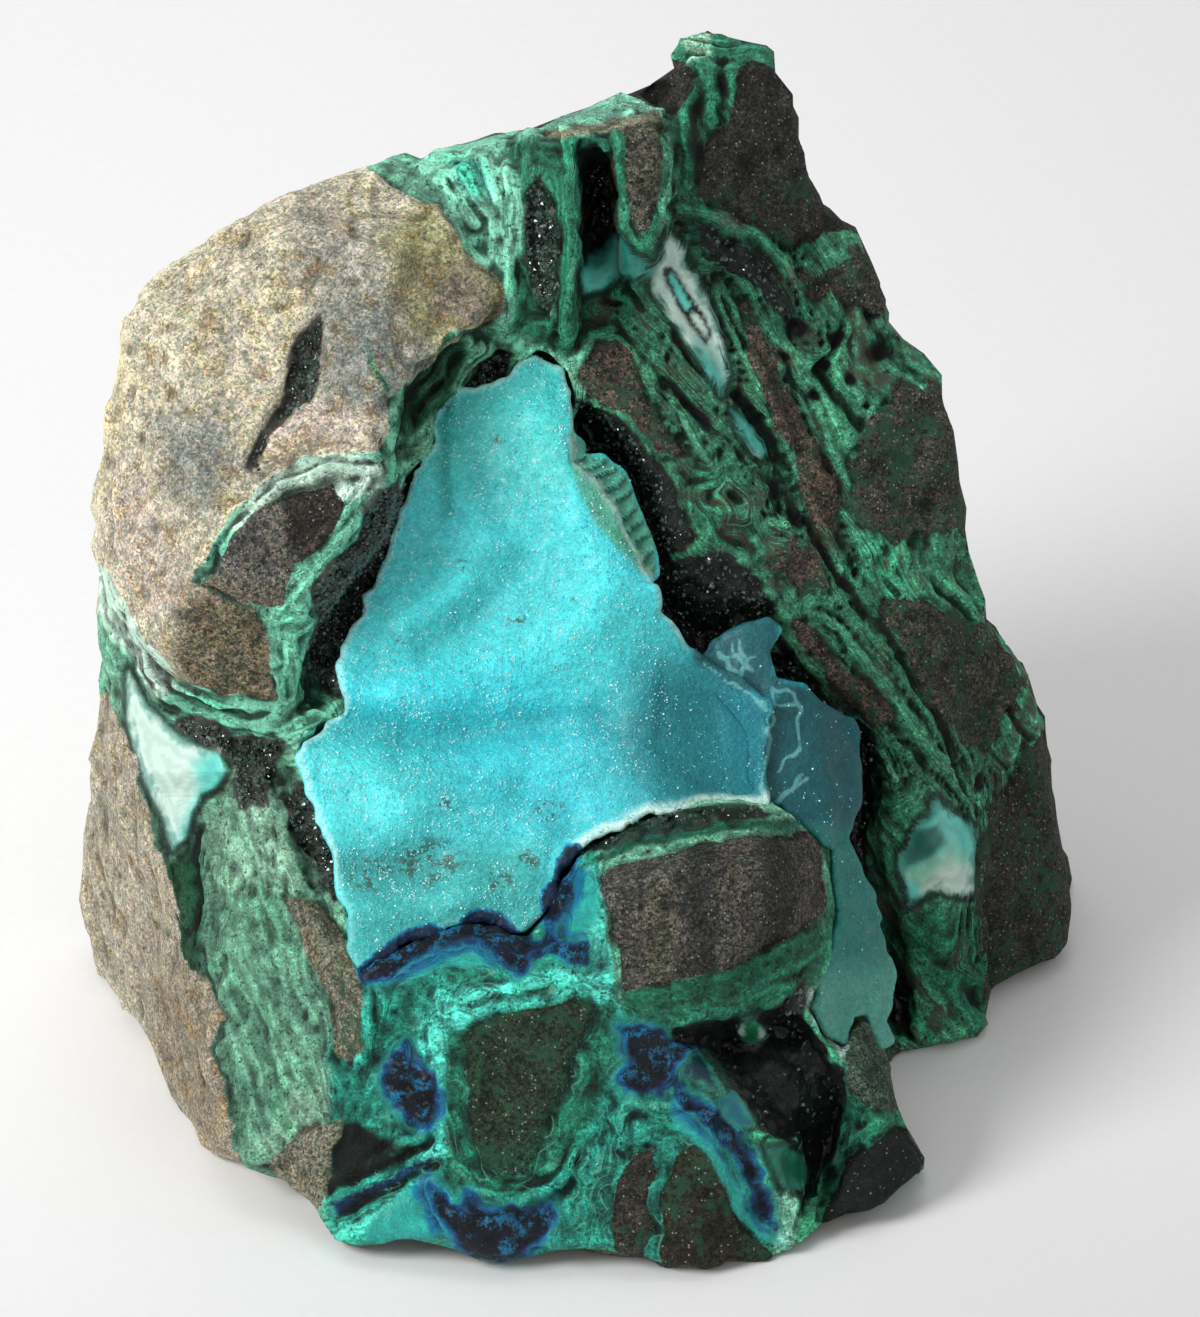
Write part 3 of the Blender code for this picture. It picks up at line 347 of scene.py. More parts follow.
# Ridges and cracks: height in mm, and the line they follow. All have the same half width.
RIDGE_HALF = 0.5
RIDGES = [
    (1.1, [(-12.4, 32.6), (-14.6, 31.6), (-15.4, 29.2), (-17.6, 27.4), (-18.6, 24.8), (-18.2, 22)]),
    (0.9, [(-11, 31.6), (-13.4, 30.6), (-14, 28.4), (-16, 26.6), (-17, 24), (-17, 22.2)]),
    (0.8, [(-9.6, 31.2), (-11.8, 29.8), (-12.8, 27.4), (-14.6, 25.4), (-15.8, 22.8)]),
    (1.0, [(-20, 20.4), (-25, 20.5), (-30, 18.3), (-34, 15.3), (-36.5, 12), (-38.2, 8.4)]),
    (0.8, [(-20, 18.9), (-25, 19.1), (-29.5, 17), (-33, 14), (-35.4, 11)]),
    (0.8, [(-19.6, 17.4), (-22, 14), (-24.8, 11), (-27.5, 8.4), (-30, 5)]),
    (0.7, [(-21, 18.1), (-23.2, 15), (-25.6, 12), (-28, 10)]),
    (1.0, [(-27.6, 4.8), (-30.2, 4), (-30.6, 1.5), (-29.8, -2), (-29.4, -4.6), (-33, -4.6), (-40, -2.6)]),
    (0.8, [(-26.6, 4), (-28.6, 2.6), (-28.6, -1), (-27.8, -4), (-31, -6.4), (-36, -6), (-41, -3.6)]),
    (0.9, [(-44, 3.6), (-42.8, -0.6), (-40.6, -3.6), (-36, -5.6), (-30, -7.2), (-25.6, -5.4)]),
    (0.9, [(-1.1, 53), (-0.7, 46), (-0.6, 40), (-0.9, 32)]),
    (0.6, [(-7, 49), (-6.4, 43), (-6.6, 38), (-7.2, 34)]),
    (0.6, [(-9.4, 50), (-8, 46), (-8, 42), (-7.4, 39.6)]),
    (0.7, [(4, 52.6), (3.9, 47), (4.6, 43), (6.3, 41.3), (8.2, 42.6), (8.7, 46), (9, 51)]),
    (0.6, [(10.4, 45.2), (14, 44.4), (18, 42.2), (21, 39.6), (22.4, 36.4), (24, 33)]),
    (-0.9, [(3.8, 34.2), (7.5, 29.5), (12.1, 24.5), (16.3, 20.8), (19.6, 17.6), (20.4, 14.3)]),
    (0.6, [(0.3, 29.6), (1.3, 32.6), (4.6, 33), (7, 29.6), (10, 24.6), (13, 20)]),
    (-0.9, [(16, 27), (19, 22), (21, 17), (22, 13.5)]),
    (-0.9, [(23, 14), (28, 6), (33, 0), (37, -8), (39, -13)]),
    (0.5, [(14.4, 36.4), (18, 28.6), (21, 21.6), (23.6, 15.4), (26.6, 9)]),
    (0.5, [(19, 2), (22, -1.6), (25.6, -4.6), (29.6, -7.6), (32, -12)]),
    (0.5, [(24.6, 4.6), (28.6, 0.6), (32, -4.6), (35.6, -9.6), (39.6, -14)]),
    (-0.8, [(40.3, -12), (40.5, -20), (40.6, -30)]),
    (-0.7, [(-37.9, -17), (-38.3, -20), (-37.8, -23.6), (-38.6, -28)]),
    (0.7, [(10.8, 61.8), (14, 61), (18, 60.8), (22, 59.6)]),
    (0.6, [(11.4, 59.8), (14, 59), (17.4, 58.6)]),
    (0.6, [(11.8, 57.6), (14, 56.6), (16, 54.2)]),
    (0.6, [(9.8, 56.5), (11, 54), (11.6, 50.5), (11.2, 47.5)]),
    (0.6, [(13.4, 60.4), (13, 57), (13.8, 53.6)]),
    (-0.7, [(12, 58.4), (12.5, 55), (12.2, 51), (12, 48)]),
    (-0.7, [(14.8, 60.2), (14.3, 57.4), (15, 55)]),
    (0.5, [(-11.4, 48.8), (-10.2, 46.8), (-8.6, 44.4), (-7.6, 41)]),
    (0.5, [(-13, 47.8), (-11.8, 46.2), (-10.2, 43.6)]),
    (0.5, [(-4.4, 52.4), (-5.6, 47), (-5.4, 41), (-3.6, 36)]),
    (0.6, [(-20.8, -50.4), (-17, -48.4), (-14.6, -47)]),
    (-0.5, [(-24.6, -53.2), (-19, -50.6), (-14.6, -48)]),
    (0.5, [(-25, -54), (-19, -51.4), (-14.4, -48.9)]),
    (-0.5, [(-24, -55.6), (-18, -52.6), (-14, -50.4)]),
    (0.5, [(-12.6, -34.4), (-8, -33), (-2, -31.9), (3.6, -32)]),
    (0.5, [(-13.6, -37), (-13.6, -44), (-13, -49), (-10.4, -53), (-6, -54.2), (-1.8, -52.4), (1, -47)]),
    (0.5, [(-23.6, -31), (-21.6, -33.4), (-20.8, -36.8), (-21.8, -40)]),
    (0.5, [(10.6, -44.4), (8, -44.6), (5.4, -44), (4, -46), (4.4, -48.6)]),
    (0.5, [(19.4, -48.6), (21.4, -48.4), (22.4, -51), (21.4, -54), (20.6, -57.6)]),
    (0.8, [(26, -50.4), (28.4, -47.6), (30.4, -46.4)]),
    (0.6, [(22.6, -56.4), (24.4, -53.6), (25.4, -50.6), (27.2, -46.6)]),
]


# ---------------------------------------------------------------- measuring on the face


def stand_up():
    """Turns the face frame, in mm, into the row frame, in metres."""
    lean = Matrix.Rotation(math.pi / 2 - FACE_LEAN, 4, "X")
    return Matrix.Translation(FACE_ORIGIN) @ Matrix.Scale(MM, 4) @ lean


def seen(points):
    """Where each point falls on the face when it is seen from in front."""
    scale = EYE_GAP / (EYE_GAP - points[:, 2:3])
    return EYE_AIM + (points[:, :2] - EYE_AIM) * scale


def eased(value, width):
    """From 0 to 1 as the value goes from 0 to the width, with soft ends."""
    t = np.clip(value / width, 0, 1)
    return t * t * (3 - 2 * t)


def line_gap(points, line, closed=False):
    """Distance from each point to a line, and whether it lies inside a closed one."""
    start = np.array(line, float)
    stop = np.roll(start, -1, axis=0)
    if not closed:
        start, stop = start[:-1], stop[:-1]
    gap = np.full(len(points), 1e9)
    inside = np.zeros(len(points), bool)
    for (ax, ay), (bx, by) in zip(start, stop):
        dx, dy = bx - ax, by - ay
        px, py = points[:, 0] - ax, points[:, 1] - ay
        along = np.clip((px * dx + py * dy) / (dx * dx + dy * dy), 0, 1)
        gap = np.minimum(gap, np.hypot(px - along * dx, py - along * dy))
        if dy:
            inside ^= ((ay > points[:, 1]) != (by > points[:, 1])) & (px < dx * py / dy)
    return gap, inside


def near_line(points, line, reach, closed):
    """Which points lie within reach of a line's box, and what line_gap says of them."""
    low, high = np.min(line, axis=0) - reach, np.max(line, axis=0) + reach
    near = np.nonzero(np.all((points > low) & (points < high), axis=1))[0]
    return (near, *line_gap(points[near], line, closed))


def depth_in(points, outline, reach=FAR_OUT):
    """How far each point lies inside an outline; negative outside it, and never under -reach."""
    near, gap, inside = near_line(points, outline, reach, True)
    depth = np.full(len(points), -reach)
    depth[near] = np.where(inside, gap, np.maximum(-gap, -reach))
    return depth


def deepest(points, outlines):
    """How far each point lies inside any of several outlines."""
    return np.max([depth_in(points, outline) for outline in outlines], axis=0)


def lattice(cell, seed):
    """A fixed random number from 0 to 1 for each whole-numbered cell."""
    mixed = cell[..., 0] * 73856093 ^ cell[..., 1] * 19349663 ^ cell[..., 2] * 83492791 ^ (seed * 48271 + 11)
    mixed = ((mixed ^ (mixed >> 15)) & 0xFFFFFFFF) * 1274126177
    mixed = ((mixed ^ (mixed >> 13)) & 0xFFFFFFFF) * 747796405
    return ((mixed ^ (mixed >> 16)) & 0xFFFFFF) / 0xFFFFFF


def swell(points, size, seed):
    """Smooth noise from -1 to 1, whose bumps are about one size across."""
    place = points / size
    low = np.floor(place).astype(np.int64)
    part = place - low
    part = part * part * (3 - 2 * part)
    total = np.zeros(len(points))
    for corner in itertools.product((0, 1), repeat=3):
        share = np.prod(np.where(corner, part, 1 - part), axis=1)
        total += share * lattice(low + np.array(corner), seed)
    return total * 2 - 1


def pebbles(points, size, seed):
    """Distance in mm from each point to the nearest of the middles scattered about one size apart."""
    place = points / size
    low = np.floor(place).astype(np.int64)
    nearest = np.full(len(points), 9.0)
    for corner in itertools.product((-1, 0, 1), repeat=3):
        cell = low + np.array(corner)
        middle = cell + np.stack([lattice(cell, seed + k) for k in (1, 2, 3)], axis=1)
        nearest = np.minimum(nearest, np.linalg.norm(place - middle, axis=1))
    return nearest * size


def tinted(base, points, patches):
    """Lays soft patches of shade over a base colour for each point."""
    colour = np.array(base, float)
    for name, outline, edge in patches:
        share = eased(depth_in(points, outline, edge + 1) + edge / 2, edge)[:, None]
        colour = colour * (1 - share) + share * np.array(SHADE[name])
    return colour


# Middles of the stones away from the face: place in the face frame, how much larger than its
# neighbours it is, and its shade.
BIG_STONES = [
    ((-34, 26, -6), 13.0, "tan"), ((-30, 22, -34), 8.0, "warm_grey"), ((-46, -24, -8), 12.0, "side_grey"),
    ((-20, 44, -24), 7.0, "warm_grey"), ((16, 50, -8), 7.0, "peak_grey"), ((46, -22, -26), 9.0, "back_grey"),
    ((37, 18, -14), 7.0, "wall_umber"), ((0, 30, -48), 9.0, "putty"), ((20, 8, -56), 8.0, "warm_grey"),
    ((-20, -2, -62), 9.0, "side_grey"), ((-6, -34, -44), 8.0, "putty"), ((30, -28, -50), 7.0, "wedge_grey"),
]
STONE_COUNT = 74  # stones away from the face
STONE_ROOM = 11.0  # least gap from a new middle to its neighbours, in mm
STONE_TRIES = 4000
SMALL_STONE_SHADES = ["side_grey", "putty", "warm_grey", "wedge_grey", "low_brown", "back_grey", "cocoa"]


def stones_behind(points):
    """The stones of the sides and the back: how far each point lies inside one, and its colour."""
    draw = np.random.default_rng(11)
    middles = [place for place, _, _ in BIG_STONES]
    sizes = [size for _, size, _ in BIG_STONES]
    shades = [name for _, _, name in BIG_STONES]
    tries = 0
    while len(middles) < STONE_COUNT and tries < STONE_TRIES:
        tries += 1
        place = draw.uniform((-52, -62, -92), (52, 64, 22))
        room = min(np.linalg.norm(place - m) - s for m, s in zip(np.array(middles), sizes))
        if room > STONE_ROOM:
            middles.append(tuple(place))
            sizes.append(draw.uniform(0, 3.5))
            shades.append(SMALL_STONE_SHADES[int(draw.integers(len(SMALL_STONE_SHADES)))])
    bent = points + 1.6 * np.stack([swell(points, 7.0, k) for k in (21, 22, 23)], axis=1)
    bent += 0.5 * np.stack([swell(points, 2.2, k) for k in (24, 25, 26)], axis=1)
    first = np.full(len(points), 1e9)
    second = first.copy()
    owner = np.zeros(len(points), int)
    for number, (place, size) in enumerate(zip(middles, sizes)):
        gap = np.linalg.norm(bent - place, axis=1) - size
        second = np.where(gap < first, first, np.minimum(second, gap))
        owner = np.where(gap < first, number, owner)
        first = np.minimum(first, gap)
    vein = 0.9 + 1.5 * swell(points, 11.0, 27)
    colours = np.array([SHADE[name] for name in shades])
    return (second - first) / 2 - np.clip(vein, -0.4, 3.0), colours[owner]


def survey(points, normals):
    """What lies at each point of the rock: signed distances to the edges of its minerals, its colours
    and the coordinate that its growth bands follow."""
    flat = seen(points)
    front = eased(normals[:, 2] - 0.02, 0.16)
    bent = flat.copy()
    for axis in (0, 1):
        bent[:, axis] += 0.4 * swell(points, 3.0, 31 + axis) + 0.3 * swell(points, 1.1, 33 + axis)
    crisp = flat + (bent - flat) * 0.45
    depths = np.array([depth_in(bent, outline, 12.0) for _, outline in STONES])
    owner = np.argmax(depths, axis=0)
    stone = depths.max(axis=0)
    colours = np.array([SHADE[name] for name, _ in STONES])[owner]
    stone_tint = tinted(colours, bent, STONE_PATCHES)
    behind, behind_tint = stones_behind(points)
    depths = np.array([depth_in(bent, outline) for _, outline in DARKS])
    milk = deepest(crisp, MILKS)
    dark = np.minimum(depths.max(axis=0), 0.3 - milk)
    dark_tint = np.array([SHADE[name] for name, _ in DARKS])[np.argmax(depths, axis=0)]
    azure = deepest(bent, AZURES)

    ridge, lined = np.zeros(len(points)), np.zeros(len(points))
    along = np.full(len(points), 4.0)
    loose = flat + (bent - flat) * 0.8
    uneven = 0.8 + 0.7 * swell(points, 2.4, 28)
    for height, line in RIDGES:
        near, gap, _ = near_line(loose, line, 4.0, False)
        ridge[near] += np.sign(height) * np.exp(-((gap / RIDGE_HALF) ** 2)) * uneven[near]
        lined[near] = np.maximum(lined[near], np.exp(-((gap / 1.8) ** 2)))
        along[near] = np.minimum(along[near], gap)
    streaks = eased(depth_in(flat, VEIN_PATCHES[0][1], 6.0) + 1, 3.0)
    across = 0.83 * flat[:, 0] + 0.56 * flat[:, 1]
    across = across + 1.5 * swell(points, 9.0, 36) + 0.6 * swell(points, 3.5, 29)
    budded = np.max([eased(depth_in(flat, outline, 4.0) + 1, 2.0) for outline in BUDDED], axis=0)
    stone += streaks * (0.9 * swell(points, 4.0, 37) + 0.8 * swell(points, 1.6, 38))
    pit = np.zeros(len(points))
    for x, y, radius in PITS:
        pit = np.maximum(pit, np.exp(-((np.hypot(bent[:, 0] - x, bent[:, 1] - y) / radius) ** 2)))
    layer = -np.maximum(stone, azure)
    layer = layer * (1 - 0.8 * streaks) + 0.8 * streaks * across
    slabbed = eased(depth_in(flat, FLANK, 6.0) + 1, 3.0)
    slab = 0.94 * flat[:, 0] + 0.35 * flat[:, 1] + 0.6 * swell(points, 5.0, 39)
    layer = layer * (1 - 0.85 * slabbed) + 0.85 * slabbed * slab
    layer = layer * (1 - lined) + lined * along
    mix = front[:, None]
    return {
        "front": front,
        "flat": flat,
        "stone": stone * front + behind * (1 - front),
        "stone_tint": stone_tint * mix + behind_tint * (1 - mix),
        "vein_tint": tinted(np.tile(SHADE["mint"], (len(points), 1)), bent, VEIN_PATCHES) * mix
        + np.array(SHADE["mallard"]) * (1 - mix),
        "dark_tint": dark_tint,
        "milk_tint": tinted(np.tile(SHADE["milk"], (len(points), 1)), crisp, MILK_PATCHES),
        "layer": layer * front - behind * (1 - front),
        "lined": (lined * 0.8 + 0.2) * front + 0.3 * (1 - front),
        "dark": dark * front - FAR_OUT * (1 - front),
        "azure": azure * front - FAR_OUT * (1 - front),
        "sky": deepest(crisp, SKIES) * front - FAR_OUT * (1 - front),
        "milk": milk * front - FAR_OUT * (1 - front),
        "ridge": ridge * front,
        "streaks": streaks * front,
        "budded": budded * front,
        "pit": pit * front,
    }


def rock_relief(points, found):
    """How far the rock's surface stands out at each point, in mm."""
    in_stone = eased(found["stone"] + 0.15, 0.4)
    x, y, z = points.T
    slant = np.stack([0.88 * x - 0.47 * y, (0.47 * x + 0.88 * y) / 3.2, z / 1.5], axis=1)
    stone = 0.12 + 0.36 * swell(points, 5.0, 41) + 0.22 * swell(slant, 2.0, 42)
    stone += 0.16 * swell(points, 1.5, 43) + 0.12 * swell(points, 0.8, 40)
    stone -= 0.35 * eased(swell(points, 2.2, 50) - 0.35, 0.3)
    turn = found["layer"] / 1.5 + 0.55 * swell(points, 4.0, 44) + 0.3 * swell(points, 1.4, 45)
    tread = turn - np.floor(turn)
    led = 0.4 + 0.6 * found["lined"]
    vein = (0.10 + 0.26 * found["lined"]) * (tread ** 2 - 0.35)
    vein += 0.25 * swell(points, 3.0, 46) + 0.18 * swell(points, 1.1, 47)
    flow = np.stack([found["layer"] / 0.95, (points[:, 0] + 0.5 * points[:, 2]) / 4.5,
                     (points[:, 1] - 0.5 * points[:, 2]) / 4.5], axis=1)
    threads = swell(flow, 1.0, 48)
    vein += (0.30 + 0.25 * found["streaks"]) * threads * led
    vein -= 0.9 * eased(-0.35 - threads, 0.35) * np.maximum(found["streaks"], 0.5 * found["lined"])
    pits = swell(points * (1, 0.6, 1), 1.0, 38) + 0.7 * swell(points, 3.2, 37)
    vein -= 0.35 * eased(pits - 0.55, 0.35) * (1 - found["lined"])
    rosettes = pebbles(points, 3.3, 35)
    vein += found["budded"] * 0.35 * (0.9 - rosettes / 1.6)
    vein -= 1.2 * found["pit"]
    height = stone * in_stone + vein * (1 - in_stone)
    height -= 0.35 * np.exp(-((found["stone"] / 0.4) ** 2)) * eased(swell(points, 3.0, 49) + 0.4, 0.6)
    in_dark = eased(found["dark"] + 0.2, 0.6)
    knobs = 0.5 * (1 - pebbles(points, 1.5, 51) ** 2).clip(-0.6, 1) - 0.3
    height = height * (1 - in_dark) + in_dark * knobs
    in_azure = eased(found["azure"] + 0.3, 0.7)
    buds = 0.45 * (1 - (pebbles(points, 1.9, 55) / 1.2) ** 2).clip(-0.6, 1)
    buds = buds + 0.12 * swell(points, 0.9, 56) - 0.1
    height = height * (1 - in_azure) + in_azure * buds
    smooth = np.maximum(eased(found["milk"] + 0.2, 0.5), 0.8 * eased(found["sky"] + 0.2, 0.5))
    height *= 1 - smooth
    boss = np.hypot(found["flat"][:, 0] - 17.4, found["flat"][:, 1] + 37.2) / 2.0
    height += 1.5 * np.sqrt((1 - boss ** 2).clip(0)) * found["front"]
    return height + 0.8 * found["ridge"].clip(-1.1, 1.3)


# ---------------------------------------------------------------- meshes


def link(name, mesh):
    """A new object in the scene."""
    made = bpy.data.objects.new(name, mesh)
    bpy.context.scene.collection.objects.link(made)
    return made


def baked(obj, modifiers):
    """Gives the object the mesh that its modifiers make, and drops them."""
    for kind, settings in modifiers:
        modifier = obj.modifiers.new(kind, kind)
        for key, value in settings.items():
            setattr(modifier, key, value)
    graph = bpy.context.evaluated_depsgraph_get()
    mesh = bpy.data.meshes.new_from_object(obj.evaluated_get(graph))
    obj.modifiers.clear()
    old, obj.data = obj.data, mesh
    bpy.data.meshes.remove(old)
    return obj


def places(mesh):
    """The mesh's points and their normals."""
    points, normals = (np.empty(len(mesh.vertices) * 3) for _ in range(2))
    mesh.vertices.foreach_get("co", points)
    mesh.vertices.foreach_get("normal", normals)
    return points.reshape(-1, 3), normals.reshape(-1, 3)


def put_places(mesh, points):
    """Move every vertex to its point."""
    mesh.vertices.foreach_set("co", np.ascontiguousarray(points, float).ravel())
    mesh.update()


def neighbours_mean(mesh, values, rounds):
    """Values averaged with their neighbours' along the edges, several times."""
    ends = np.empty(len(mesh.edges) * 2, np.int32)
    mesh.edges.foreach_get("vertices", ends)
    ends = ends.reshape(-1, 2)
    both = np.concatenate([ends, ends[:, ::-1]])
    count = np.bincount(both[:, 0], minlength=len(values)).clip(1)
    for _ in range(rounds):
        values = np.stack([
            np.bincount(both[:, 0], weights=column[both[:, 1]], minlength=len(values)) / count
            for column in values.T
        ], axis=1)
    return values


def hollowness(mesh, rounds):
    """How far each point lies below its surroundings, in mm; negative on a ridge."""
    points, normals = places(mesh)
    return np.sum((neighbours_mean(mesh, points, rounds) - points) * normals, axis=1)


def store(mesh, name, values):
    """Keeps a value or a colour for each point, for the material to read."""
    if values.ndim == 1:
        made = mesh.attributes.new(name, "FLOAT", "POINT")
        made.data.foreach_set("value", values.astype(np.float32))
    else:
        made = mesh.attributes.new(name, "FLOAT_VECTOR", "POINT")
        made.data.foreach_set("vector", values.astype(np.float32).ravel())


def cad_copy(name, node):
    """A copy of a CAD node's mesh, laid down in the face frame."""
    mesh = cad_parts[node].data.copy()
    mesh.transform(stand_up().inverted())
    mesh.materials.clear()
    for layer in list(mesh.uv_layers):
        mesh.uv_layers.remove(layer)
    return link(name, mesh)


def finished(obj, material, rounded=True):
    """Stands a piece up in the row frame and hands it over with its material."""
    obj.data.transform(stand_up())
    obj.data.materials.clear()
    obj.data.materials.append(material)
    obj.data.polygons.foreach_set("use_smooth", [rounded] * len(obj.data.polygons))
    obj.data.update()
    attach(obj, "root")


# ---------------------------------------------------------------- shader building


def node(tree, kind, feeds=None, out=0, **settings):
    """Adds a shader node, wires or sets its inputs, and gives back one output."""
    made = tree.nodes.new("ShaderNode" + kind)
    for key, value in settings.items():
        setattr(made, key, value)
    for name, value in (feeds or {}).items():
        if isinstance(value, bpy.types.NodeSocket):
            tree.links.new(value, made.inputs[name])
        else:
            made.inputs[name].default_value = value
    return made.outputs[out]


def calc(tree, operation, *values):
    """One step of arithmetic."""
    return node(tree, "Math", dict(enumerate(values)), operation=operation)


def ramped(tree, value, start, stop, low=0.0, high=1.0):
    """Follows value from start to stop smoothly, and gives low to high."""
    feeds = {"Value": value, "From Min": start, "From Max": stop, "To Min": low, "To Max": high}
    return node(tree, "MapRange", feeds, interpolation_type="SMOOTHSTEP")


def blended(tree, share, low, high, how="MIX"):
    """One colour over another."""
    low, high = (value if isinstance(value, bpy.types.NodeSocket) else (*value, 1) for value in (low, high))
    return node(tree, "Mix", {0: share, 6: low, 7: high}, out=2, data_type="RGBA", blend_type=how)


def toned(tree, colour, amount):
    """A colour made lighter or darker by a factor that changes over the surface."""
    grey = node(tree, "CombineColor", {"Red": amount, "Green": amount, "Blue": amount})
    return blended(tree, 1.0, colour, grey, "MULTIPLY")


def grain_noise(tree, place, per_metre, detail=3.0, roughness=0.55):
    """Fractal noise from 0 to 1, with so many grains to a metre."""
    feeds = {"Vector": place, "Scale": per_metre, "Detail": detail, "Roughness": roughness}
    return node(tree, "TexNoise", feeds)


def stored(tree, name, out="Fac"):
    """An attribute of the mesh."""
    return node(tree, "Attribute", out=out, attribute_name=name)


def effect(name, inputs, outputs, build):
    """A shader node group that several materials use, made once. Outputs named Tint are colours."""
    if name in bpy.data.node_groups:
        return bpy.data.node_groups[name]
    tree = bpy.data.node_groups.new(name, "ShaderNodeTree")
    for label, value in inputs:
        tree.interface.new_socket(label, in_out="INPUT", socket_type="NodeSocketFloat").default_value = value
    for label in outputs:
        kind = "NodeSocketColor" if label == "Tint" else "NodeSocketFloat"
        tree.interface.new_socket(label, in_out="OUTPUT", socket_type=kind)
    entry, leave = tree.nodes.new("NodeGroupInput"), tree.nodes.new("NodeGroupOutput")
    for label, value in build(tree, entry.outputs).items():
        tree.links.new(value, leave.inputs[label])
    return tree


def placed(tree, group, **feeds):
    """Places an effect in a material and gives back its outputs."""
    made = tree.nodes.new("ShaderNodeGroup")
    made.node_tree = group
    for label, value in feeds.items():
        socket = made.inputs[label.replace("_", " ")]
        if isinstance(value, bpy.types.NodeSocket):
            tree.links.new(value, socket)
        else:
            socket.default_value = value
    return made.outputs


def crystal_grain():
    """Interlocked grains of mixed shade: a tint to multiply a colour by, and the larger grains' height."""
    def build(tree, given):
        place = node(tree, "TexCoord", out="Object")
        tints, greys = [], []
        for share, finer in ((0.95, 1.0), (1.0, 1.9)):
            scale = calc(tree, "MULTIPLY", given["Per Metre"], finer)
            own = node(tree, "TexVoronoi", {"Vector": place, "Scale": scale}, out="Color")
            grey = node(tree, "SeparateColor", {"Color": own})
            plain = node(tree, "CombineColor", {"Red": grey, "Green": grey, "Blue": grey})
            own = blended(tree, given["Hue"], plain, own)
            swing = calc(tree, "MULTIPLY", given["Contrast"], share)
            lift = node(tree, "VectorMath", {0: own, 1: (0.5, 0.5, 0.5)}, operation="SUBTRACT")
            lift = node(tree, "VectorMath", {0: lift, "Scale": swing}, operation="SCALE")
            tints.append(node(tree, "VectorMath", {0: lift, 1: (1, 1, 1)}, operation="ADD"))
            greys.append(grey)
        tint = node(tree, "VectorMath", {0: tints[0], 1: tints[1]}, operation="MULTIPLY")
        return {"Tint": tint, "Height": greys[0]}
    inputs = [("Per Metre", 2400.0), ("Contrast", 0.8), ("Hue", 0.3)]
    return effect("crystal_grain", inputs, ["Tint", "Height"], build)


def flow_threads():
    """Threads that run along the growth layers, fine and broad, from 0 to 1."""
    def build(tree, given):
        place = node(tree, "TexCoord", out="Object")
        across = node(tree, "VectorMath", {0: place, 1: (1, 0.4, 0.3)}, out="Value", operation="DOT_PRODUCT")
        upward = node(tree, "VectorMath", {0: place, 1: (0, -0.5, 1)}, out="Value", operation="DOT_PRODUCT")
        tones = {}
        for label, fineness, shortness, detail in (("Fine", 2.8, 420.0, 2.0), ("Broad", 0.75, 190.0, 3.0)):
            spot = node(tree, "CombineXYZ", {
                "X": calc(tree, "MULTIPLY", given["Layer"], fineness),
                "Y": calc(tree, "MULTIPLY", across, shortness),
                "Z": calc(tree, "MULTIPLY", upward, shortness)})
            tones[label] = grain_noise(tree, spot, 1.0, detail, 0.6)
        return tones
    return effect("flow_threads", [("Layer", 0.0)], ["Fine", "Broad"], build)


def painted_glints():
    """Small bright points painted into the colour: painted glints where a scattered crystal face would catch
    the light.
    """
    def build(tree, given):
        place = node(tree, "TexCoord", out="Object")
        gap = node(tree, "TexVoronoi", {"Vector": place, "Scale": given["Per Metre"]}, out="Distance")
        own = node(tree, "SeparateColor", {"Color": gap.node.outputs["Color"]})
        chosen = calc(tree, "GREATER_THAN", own, calc(tree, "SUBTRACT", 1.0, given["Share"]))
        return {"Mask": calc(tree, "MULTIPLY", ramped(tree, gap, 0.42, 0.16), chosen)}
    return effect("painted_glints", [("Per Metre", 2500.0), ("Share", 0.1)], ["Mask"], build)


def growth_bands():
    """Layers that grew one on another: a tone from 0 to 1, and a thin pale line between layers."""
    def build(tree, given):
        place = node(tree, "TexCoord", out="Object")
        broad = calc(tree, "SUBTRACT", grain_noise(tree, place, 350.0, 2.0), 0.5)
        tight = calc(tree, "SUBTRACT", grain_noise(tree, place, 1500.0, 2.0), 0.5)
        moved = calc(tree, "ADD", calc(tree, "MULTIPLY", broad, 2.2), calc(tree, "MULTIPLY", tight, 0.7))
        moved = calc(tree, "ADD", given["Layer"], calc(tree, "MULTIPLY", moved, given["Wander"]))
        turn = calc(tree, "FRACT", calc(tree, "DIVIDE", moved, given["Period"]))
        off = calc(tree, "ABSOLUTE", calc(tree, "SUBTRACT", turn, 0.5))
        return {"Tone": ramped(tree, off, 0.5, 0.0), "Line": ramped(tree, off, 0.10, 0.02)}
    return effect("growth_bands", [("Layer", 0.0), ("Period", 1.2), ("Wander", 1.0)], ["Tone", "Line"], build)


def new_material(name):
    """An empty material and its shader."""
    material = bpy.data.materials.new(name)
    material.use_nodes = True
    tree = material.node_tree
    shader = tree.nodes["Principled BSDF"]
    shader.inputs["Metallic"].default_value = 0.0
    return material, tree, shader


def feed(tree, shader, **wires):
    """Wires into the shader's inputs."""
    for label, value in wires.items():
        tree.links.new(value, shader.inputs[label.replace("_", " ")])


